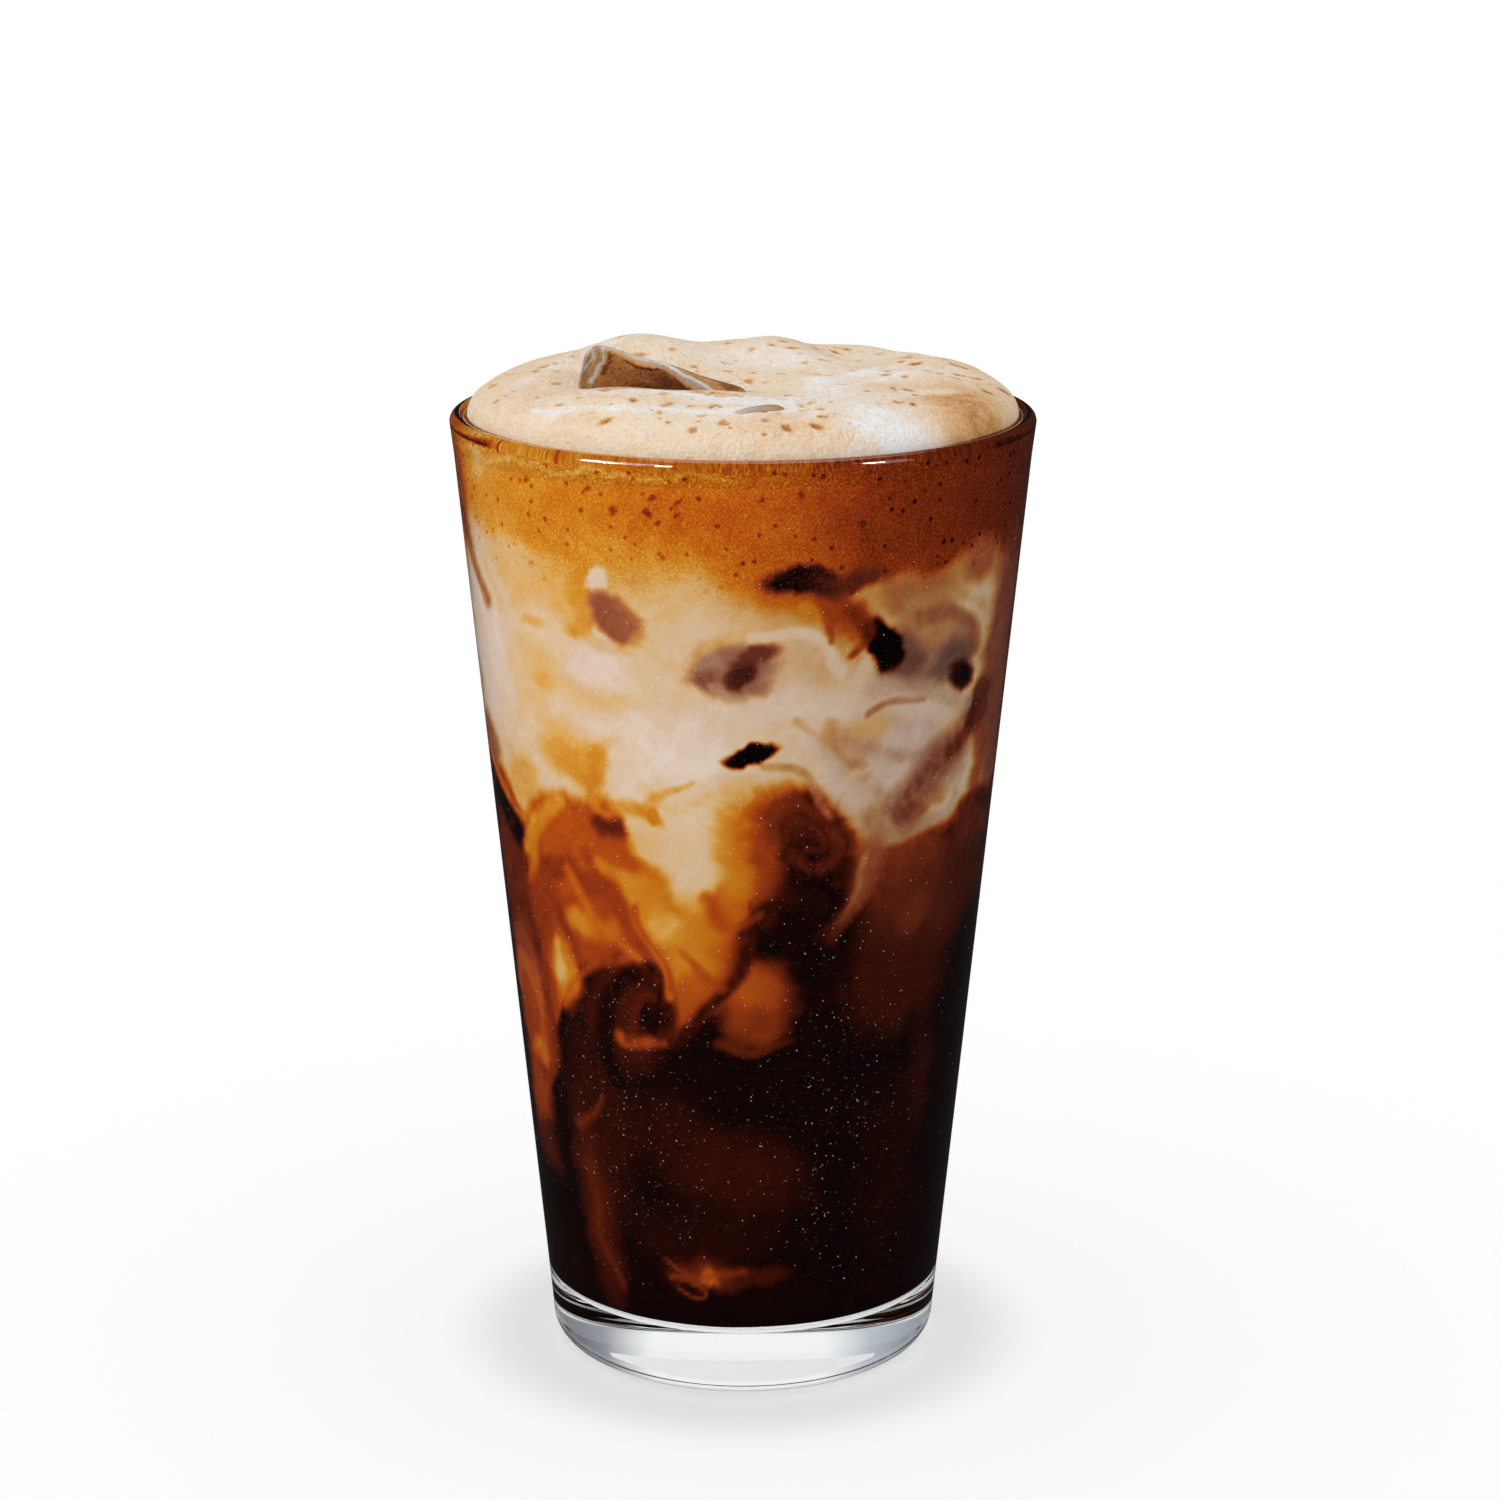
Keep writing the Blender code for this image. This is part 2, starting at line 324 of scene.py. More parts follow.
profile = tumbler_profile()
turns = np.linspace(0.0, 2 * np.pi, GLASS_COLUMNS, endpoint=False)
glass_grid = around(profile[:, :1], profile[:, 1:], turns)
tumbler = closed_piece("tumbler", glass_grid, (0, 0, PUNT_DEPTH), (0, 0, FLOOR_HEIGHT))
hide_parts("glass")
tumbler.visible_shadow = False

# %% [markdown]
# Soda glass bends light by half as much again as air. A trace of unevenness in the surface, far too
# slight to see as bumps, breaks up the long reflections the way a pressed tumbler does.

# %% Clear glass


def clear_glass():
    """Colourless transmission with a faint, slow waviness."""
    made, tree, shader = finish("clear_glass", Base_Color=(*linear((250, 253, 253)), 1.0), Roughness=0.0,
                                IOR=1.5, Transmission_Weight=1.0)
    add_bumps(tree, shader, noise(tree, own_place(tree), 70.0, 1.0), 0.05, 0.4 * MM)
    return made


tumbler.data.materials.append(clear_glass())
print("glass finish on", tumbler.name)

# %% [markdown]
# The drink is the heart of the picture: milk sinks into cold coffee in curls, with ice showing through
# here and there, under a band of golden crema. It isn't a texture that repeats. It is painted on the
# wall of the drink the way a backdrop is painted, with a few kinds of brush stroke, broad ones first.
#
# Two numbers describe every spot: milk, from 0 for black coffee to 1 for pale cream, and veil, from 0 for
# warm, lit-through colours to 1 for the greyer ones: where ice lies behind the milk, and in the painted
# shade on the right side. Places on the wall are given as degrees round from the front, to the right, and
# millimetres above the table.

# %% Brushes
WALL_MM_PER_DEGREE = 0.65


def ease(low, high, value):
    """0 below low and 1 above high, with a smooth S between them."""
    share = np.clip((value - low) / (high - low), 0.0, 1.0)
    return share * share * (3.0 - 2.0 * share)


def smooth_path(points, steps=6):
    """A curve through all its points: each span is the cubic set by its two ends and their neighbours."""
    knots = np.asarray(points, float)
    knots = np.concatenate([[2 * knots[0] - knots[1]], knots, [2 * knots[-1] - knots[-2]]])
    t = np.linspace(0.0, 1.0, steps, endpoint=False)[:, None]
    spans = [0.5 * (2 * b + (c - a) * t + (2 * a - 5 * b + 4 * c - d) * t**2
                    + (3 * b - a - 3 * c + d) * t**3)
             for a, b, c, d in zip(knots, knots[1:], knots[2:], knots[3:])]
    return np.concatenate([*spans, knots[-2:-1]])


def toward(value, wanted, weight):
    """The value moved towards the wanted one: not at all for a weight of 0, all the way for 1."""
    return value + (wanted - value) * weight


def patch_weight(u, v, centre, reach, turn, edge):
    """An ellipse: 1 inside, 0 outside, easing over its edge, a share of the radius."""
    c, s = np.cos(np.radians(turn)), np.sin(np.radians(turn))
    du, dv = u - centre[0], v - centre[1]
    far = np.hypot((du * c + dv * s) / reach[0], (dv * c - du * s) / reach[1])
    return 1.0 - ease(1.0 - edge, 1.0 + edge, far)


def ribbon_weight(u, v, line, half, edge):
    """A drawn line: the distance to its nearest point, against the half-width there."""
    best = np.full(u.shape, 1e9)
    for k in range(len(line) - 1):
        step = line[k + 1] - line[k]
        along = ((u - line[k, 0]) * step[0] + (v - line[k, 1]) * step[1]) / max(step @ step, 1e-9)
        along = np.clip(along, 0.0, 1.0)
        gap = np.hypot(u - line[k, 0] - along * step[0], v - line[k, 1] - along * step[1])
        best = np.minimum(best, gap / (half[k] + (half[k + 1] - half[k]) * along))
    return 1.0 - ease(1.0 - edge, 1.0 + edge, best)


print("weights at the middle, edge and outside of a patch 1 mm wide:",
      patch_weight(np.array([0.0, 1.0, 2.0]), np.zeros(3), (0, 0), (1, 1), 0, 0.5))

# %% Laying the strokes
BROKEN = 0.28


def lay(values, near, weight, paint):
    """Moves every painted value towards the stroke's own, by its weight, at the points near the stroke."""
    for layer, wanted in zip(values, paint):
        layer[near] = toward(layer[near], wanted, weight)


def dab(values, u, v, centre, reach, turn, edge, strength, paint):
    """Paints one patch on the points that it can reach."""
    far = max(reach) * (1.0 + edge)
    near = (np.abs(u - centre[0]) < far) & (np.abs(v - centre[1]) < far)
    lay(values, near, strength * patch_weight(u[near], v[near], centre, reach, turn, edge), paint)


def draw(values, u, v, path, widths, edge, strength, paint, fibres=None):
    """Paints one ribbon on the points that it can reach, thinner where the fibres are low."""
    line = smooth_path(path)
    half = np.interp(np.linspace(0, 1, len(line)), np.linspace(0, 1, len(widths)), widths)
    low, high = line.min(0) - max(widths) * 2, line.max(0) + max(widths) * 2
    near = (u > low[0]) & (u < high[0]) & (v > low[1]) & (v < high[1])
    weight = strength * ribbon_weight(u[near], v[near], line, half, edge)
    if fibres is not None:
        weight = weight * (1.0 - BROKEN * fibres[near])
    lay(values, near, weight, paint)


def above_weight(u, v, line, softness):
    """All that lies above a line of (u, v) points, easing in over the softness."""
    knots = smooth_path(line)
    return ease(-softness, softness, v - np.interp(u, knots[:, 0], knots[:, 1]))


def marbled(u, v, reach, wave, seed, rounds=5):
    """Stirs a plane: each round slides it sideways by waves of the other direction, shorter every time."""
    dice = np.random.default_rng(seed)
    for _ in range(rounds):
        first, second = dice.uniform(0, 2 * np.pi, 2)
        u = u + reach * np.sin(2 * np.pi * v / wave + first)
        v = v + reach * np.sin(2 * np.pi * u / (wave * 1.13) + second)
        reach, wave = reach * 0.62, wave * 0.58
    return u, v


print("the brushes: patches, ribbons and levels, on a plane that can be stirred")

# %% [markdown]
# First the levels, from the black coffee up: a warm zone where the milk has just begun to mix, the body of
# milk, and the crema. Each level is a line round the front of the glass. The crema's tone holds painted
# shade that darkens it towards the right, and a pale line of painted highlight runs near its top on the
# left.

# %% Levels of the drink
COFFEE = 0.035
DARK = 0.15

WARM_LEVEL = (
    (-180, 92), (-90, 92), (-70, 92), (-63, 88), (-59, 74), (-56, 58), (-52, 61), (-47, 65.5),
    (-41, 69.5), (-34, 71), (-27, 70), (-22, 66.5), (-19, 61.5), (-15, 61.5), (-8, 65.5), (-3, 71),
    (2, 80), (7, 96), (18, 97), (27, 86), (40, 86), (60, 90), (90, 92), (180, 92),
)
MILK_LEVEL = (
    (-180, 98), (-90, 98), (-73, 97), (-66, 94.5), (-61, 91), (-55, 94.5), (-46, 95.5), (-37, 96.5),
    (-30, 95), (-25, 90), (-20, 86), (-15, 82.5), (-9, 83), (-4, 86), (-1, 94), (2, 99), (10, 100),
    (20, 97.5), (27, 91), (36, 89.5), (50, 91), (60, 93), (90, 93), (180, 93),
)
CREMA_LEVEL = (
    (-180, 132), (-90, 132), (-70, 133), (-60, 134), (-50, 132), (-40, 130.5), (-34, 127), (-29, 131.5),
    (-20, 132.5), (-10, 132), (-4, 130), (3, 127.5), (9, 126), (14, 124.5), (19, 124), (24, 121),
    (29, 129.5), (45, 130), (55, 133), (63, 132), (70, 129), (90, 128), (180, 131),
)
# The crema's own gold round the glass, with painted shade that darkens it towards the right.
CREMA_TONE_AND_SHADE = (
    (-180, 0.52), (-90, 0.42), (-80, 0.42), (-72, 0.55), (-60, 0.60), (-40, 0.55), (-20, 0.505),
    (-8, 0.455), (0, 0.45), (12, 0.41), (25, 0.29), (45, 0.24), (65, 0.18), (90, 0.16), (180, 0.5),
)


def paint_levels(degrees, height):
    """The milk and veil values of the plain layers, before anything is brushed over them."""
    warm = above_weight(degrees, height, WARM_LEVEL, 1.4)
    body = above_weight(degrees, height, MILK_LEVEL, 1.8)
    crema = above_weight(degrees, height, CREMA_LEVEL, 1.9)
    fringe = np.exp(-((height - np.interp(degrees, *np.array(CREMA_LEVEL).T) + 1.2) / 3.4) ** 2)
    tone = np.interp(degrees, *np.array(CREMA_TONE_AND_SHADE).T)
    # painted highlight: a pale line near the top of the crema, on the left only, fading out towards the
    # front
    pale_highlight_line = np.exp(-((height - 146.4 - 0.01 * degrees) / 0.35) ** 2) * ease(10, -20, degrees)
    milk = toward(COFFEE, 0.36, warm)
    milk = toward(milk, 0.87, body)
    milk = toward(milk, tone + 0.13, 0.5 * fringe)
    milk = toward(milk, tone + 0.09 * fringe, crema)
    milk = toward(milk, 0.80, 0.55 * pale_highlight_line)
    return [milk, 0.3 * body * (1.0 - crema)]


print("levels run through", len(WARM_LEVEL), len(MILK_LEVEL), len(CREMA_LEVEL), "points")

# %% [markdown]
# Then the patches: clouds of milk, spots of coffee and the pieces of ice that lie against the glass, and a
# few of painted light: shade on the right side and a reflection on the left.
# Each row is one dab of the brush: where it is, how far it reaches each way, how it is turned, the milk
# and veil values that it leaves, how strongly, and how soft its edge is.

# %% Patches on the wall
PATCHES = (
    # left side, from the crema down
    (-81, 139, 6, 8, 0, 0.36, 0.3, 0.9, 0.5), (-66, 144, 3, 3, 0, 0.78, 0.2, 0.5, 0.7),
    # painted reflection: the first patch on the line below, pale and grey at -74 degrees, is the sheen of
    # light down the left of the glass
    (-74, 115, 13, 12, 0, 0.95, 0.6, 0.9, 0.45), (-83, 109, 3, 3, 0, 0.72, 0.1, 0.7, 0.7),
    (-79, 100, 7, 4.2, 0, 0.40, 0.6, 0.9, 0.6), (-60, 96.5, 7, 4.2, -20, 0.68, 0.1, 0.9, 0.5),
    (-72, 82, 14, 8, 0, 0.21, 0.0, 0.9, 0.5), (-68, 75, 13, 7, 0, 0.20, 0.0, 0.9, 0.6),
    (-70, 65, 10, 7, 0, 0.34, 0.25, 0.9, 0.5), (-69, 56, 9, 8, 0, 0.35, 0.0, 0.9, 0.5),
    (-66, 51, 5.5, 2.2, 0, 0.57, 0.0, 0.95, 0.7), (-70, 44, 7, 6.5, -15, 0.33, 0.0, 0.95, 0.6),
    (-68, 35.5, 7, 4, 0, 0.14, 0.0, 0.8, 0.8), (-88, 62, 6, 34, 0, 0.07, 0.4, 0.9, 0.5),
    # the rust lobe and the mixing zone under it
    (-42, 88, 15, 7.2, 0, 0.41, 0.0, 0.9, 0.5), (-31.5, 92.6, 4.4, 2.5, 0, DARK, 0.1, 0.9, 0.6),
    (-50, 83.5, 8, 2.0, 5, 0.25, 0.0, 0.8, 0.7), (-37, 83, 6, 1.9, -8, 0.27, 0.0, 0.8, 0.7),
    (-50, 66.5, 5.5, 5.2, 0, 0.58, 0.0, 0.9, 0.6), (-52.5, 68.2, 3.2, 3.4, 0, 0.77, 0.1, 0.95, 0.6),
    (-43, 76, 5, 2.0, 0, 0.58, 0.0, 0.9, 0.7), (-35, 75.5, 5, 1.8, 0, 0.50, 0.0, 0.8, 0.7),
    (-23, 73, 4, 3.2, 0, 0.34, 0.1, 0.8, 0.6), (-31, 62, 12, 8.4, 0, 0.12, 0.0, 0.95, 0.4),
    (-41, 45, 12, 16, 0, 0.085, 0.0, 0.8, 0.7), (-23.5, 63, 3.8, 2.6, 0, 0.05, 0.0, 0.9, 0.9),
    (-11, 74, 9, 9, 0, 0.57, 0.0, 0.95, 0.6), (-4, 75, 5, 5, 0, 0.45, 0.0, 0.8, 0.8),
    (-20, 78, 4.5, 3.2, -30, 0.70, 0.0, 0.95, 0.7), (-12, 67, 6, 3, 20, 0.42, 0.0, 0.8, 0.8),
    # body of milk on the left
    (-41, 102, 9.5, 3.8, 0, 0.62, 0.0, 0.95, 0.6), (-48, 112, 14, 7, 0, 0.80, 0.1, 0.8, 0.6),
    (-48, 113, 3.5, 1.5, 0, 0.70, 0.0, 0.8, 0.7), (-50, 122, 4, 0.9, 0, 0.67, 0.0, 0.8, 0.6),
    (-40, 128, 7, 4.5, 0, 0.70, 0.0, 0.8, 0.9), (-24, 133, 16, 4, 0, 0.62, 0.0, 0.7, 0.9),
    (-56, 128, 9, 5, 0, 0.76, 0.1, 0.9, 0.8), (-73, 131, 5, 4.5, 0, 0.88, 0.6, 0.7, 0.8),
    (-35, 128, 3, 4, 0, 0.58, 0.0, 0.8, 0.7), (-31, 129.8, 2.6, 1.8, 0, 0.93, 0.4, 0.95, 0.5),
    (-33, 117, 7, 4, 0, 0.95, 0.9, 0.85, 0.7), (-36, 123, 4, 1.5, 10, 0.60, 0.0, 0.9, 0.7),
    (-27, 124.5, 5.4, 4.2, 45, 0.36, 0.55, 0.95, 0.35), (-26, 100.5, 7, 4.2, 0, 0.94, 0.25, 0.95, 0.35),
    (-11, 92, 6.5, 11, 0, 0.88, 0.1, 0.9, 0.4), (-22, 91, 4.5, 4, 0, 0.80, 0.1, 0.9, 0.6),
    (-22, 83, 6, 3.5, 0, 0.55, 0.0, 0.85, 0.7), (-20, 95, 1.6, 1.4, 0, 0.40, 0.0, 0.9, 0.6),
    (-12, 104.5, 11, 4.5, 8, 0.96, 0.6, 0.85, 0.6), (-14, 127, 9, 3.5, 0, 0.80, 0.1, 0.8, 0.8),
    (-14, 112.5, 7, 4, 0, 0.84, 0.3, 0.6, 0.8),
    # ice in the middle
    (10, 117.5, 11, 4.6, 0, 0.76, 0.45, 0.9, 0.4), (-2.0, 117.8, 9.0, 4.6, 8, 0.46, 0.8, 0.95, 0.45),
    (-7.5, 118.5, 3.0, 2.2, 0, 0.60, 0.9, 0.7, 0.8), (2.4, 120.4, 4.6, 1.6, 20, 0.24, 0.5, 0.9, 0.6),
    (-0.2, 117.2, 3.0, 2.3, 50, 0.12, 0.5, 0.95, 0.6), (-6.6, 116.3, 2.6, 1.5, 30, 0.30, 0.6, 0.7, 0.8),
    (-4.0, 114.6, 2.0, 1.3, 0, 0.60, 0.8, 0.8, 0.6), (4.5, 115.2, 3.0, 1.2, 20, 0.42, 0.8, 0.7, 0.8),
    (2, 105, 5.6, 1.7, 14, 0.00, 0.0, 1.0, 0.35), (14, 126.2, 3.4, 1.4, 0, 0.56, 0.0, 0.9, 0.6),
    (12, 135.5, 9, 2.6, 0, 0.44, 0.0, 0.6, 0.9), (12, 131, 8, 2.1, -3, 0.03, 0.3, 1.0, 0.5),
    (21, 130.5, 8, 1.8, 0, 0.16, 0.3, 0.8, 0.8),
    # vortex under it
    (-2, 90, 4.5, 9.5, 0, 0.58, 0.0, 0.95, 0.8), (2.5, 90, 4.4, 8.5, 0, 0.50, 0.0, 0.95, 0.8),
    (15, 89, 11.5, 9.0, 0, 0.12, 0.0, 1.0, 0.45), (5.5, 88, 3.4, 7.5, 0, 0.36, 0.0, 0.8, 0.9),
    (8, 96, 5, 2, 0, 0.28, 0.0, 0.8, 0.8), (16, 88, 6.0, 4.6, 20, 0.05, 0.0, 0.8, 0.8),
    (14, 93.5, 5, 2.5, 0, 0.13, 0.1, 0.8, 0.8), (4, 65.5, 9.6, 6.8, 0, 0.33, 0.0, 1.0, 0.45),
    (1.5, 68.5, 6, 3.0, 0, 0.45, 0.0, 0.9, 0.9), (6, 62.5, 6, 2.4, 0, 0.26, 0.0, 0.7, 0.9),
    (6, 67, 2.6, 2.0, 0, 0.40, 0.0, 0.7, 0.9),
    # right side, from the crema down
    (40, 127, 12, 3.2, 0, 0.47, 0.35, 0.85, 0.6), (27, 127.3, 3.5, 2.2, 0, 0.66, 0.2, 0.9, 0.6),
    (58, 131, 6, 3.5, 0, 0.36, 0.4, 0.8, 0.7), (45, 118.5, 15, 6.2, -4, 0.46, 0.8, 0.95, 0.3),
    (41, 121.6, 9, 2.6, -6, 0.62, 0.4, 0.9, 0.7), (36, 118, 6, 3.6, 0, 0.30, 0.9, 0.8, 0.7),
    (30.3, 120.3, 3.9, 4.9, 35, 0.00, 0.0, 1.0, 0.28), (52, 115, 7, 3.6, 0, 0.33, 1.0, 0.9, 0.6),
    (54.5, 113.4, 4.2, 2.4, 15, 0.06, 0.4, 1.0, 0.5), (32, 106.3, 15, 5.4, 0, 0.70, 0.65, 0.9, 0.25),
    (27, 108, 8, 2.6, 0, 0.76, 0.2, 0.8, 0.7), (40, 104.5, 9, 4, 20, 0.86, 1.0, 0.8, 0.7),
    (36, 99, 8, 7, 0, 0.88, 0.9, 0.8, 0.6), (50, 99.8, 10, 4.6, 12, 0.68, 0.8, 0.9, 0.4),
    # painted shade: the second patch on the line below, at 76 degrees, darkens the right side
    (46, 94.4, 7, 2.0, 8, 0.46, 0.5, 0.8, 0.6), (76, 112, 13, 21, 0, 0.30, 0.6, 0.9, 0.4),
    (63, 107.8, 5, 4, 0, DARK, 0.3, 0.95, 0.5), (66, 99, 3.5, 8, 0, 0.30, 0.3, 0.7, 0.8),
    # painted shade: this patch darkens the right edge at 90 degrees
    (90, 108, 8, 32, 0, 0.15, 0.6, 0.9, 0.6),
    # below the milk on the right
    (43, 84, 16, 7, 0, 0.27, 0.15, 0.9, 0.5), (46, 76, 16, 7, 0, 0.20, 0.2, 0.9, 0.6),
    (42, 67, 17, 8, 0, 0.12, 0.1, 0.9, 0.7), (76, 84, 16, 8, 0, 0.12, 0.2, 0.9, 0.6),
    (68, 87.5, 10, 3, 0, 0.25, 0.2, 0.8, 0.8), (45, 77, 5, 3, 0, 0.27, 0.2, 0.7, 0.8),
    (53, 50, 5, 9, 0, 0.09, 0.0, 0.8, 0.9), (62, 81, 11, 9, 0, 0.16, 0.2, 0.7, 0.9),
    (23, 66.5, 3, 1.3, 0, 0.14, 0.0, 0.8, 0.8),
    # the foot of the drink
    (-2, 38, 20, 6.5, -10, 0.095, 0.0, 0.9, 0.9), (-12, 20.4, 9, 2.6, 0, 0.30, 0.0, 0.8, 0.9),
    (-10.5, 19.6, 2.4, 1.5, 30, 0.50, 0.0, 1.0, 0.9), (-20, 46, 9, 5, 30, 0.075, 0.0, 0.8, 0.9),
    (-17, 18.3, 3.6, 0.9, -4, 0.04, 0.0, 0.9, 0.5), (5, 20.5, 8, 1.6, 0, 0.12, 0.0, 0.9, 0.8),
    (-45, 28, 6, 14, 10, 0.15, 0.0, 0.8, 0.9), (-12, 27, 22, 5, 0, 0.07, 0.0, 0.7, 0.9),
    (-2, 60, 3, 1.6, 0, 0.20, 0.0, 0.6, 0.9), (44, 36, 12, 16, 0, 0.055, 0.0, 0.8, 0.9),
    # single large bubbles in the crema
    (-48, 143.5, 0.8, 0.5, 0, 0.24, 0.0, 0.7, 0.7), (-32.5, 143, 0.8, 0.5, 0, 0.22, 0.0, 0.7, 0.7),
    (-26, 141, 0.9, 0.6, 0, 0.18, 0.0, 0.75, 0.7), (-18.5, 143.5, 0.8, 0.5, 0, 0.20, 0.0, 0.7, 0.7),
    (-18.5, 141.3, 0.9, 0.6, 0, 0.16, 0.0, 0.75, 0.7), (-12.5, 142.5, 0.7, 0.45, 0, 0.20, 0.0, 0.7, 0.7),
    (-13, 140.5, 0.6, 0.4, 0, 0.20, 0.0, 0.7, 0.7), (3, 143.2, 0.6, 0.4, 0, 0.16, 0.0, 0.7, 0.7),
    (10.5, 143.4, 0.7, 0.5, 0, 0.14, 0.0, 0.7, 0.7), (24.5, 139, 0.8, 0.5, 0, 0.10, 0.0, 0.7, 0.7),
)
print(len(PATCHES), "patches")

# %% [markdown]
# Last the ribbons, the curls that make the drink look poured: each is a path round the wall with a
# half-width in millimetres at its start and end, the values it leaves, its strength and its softness.

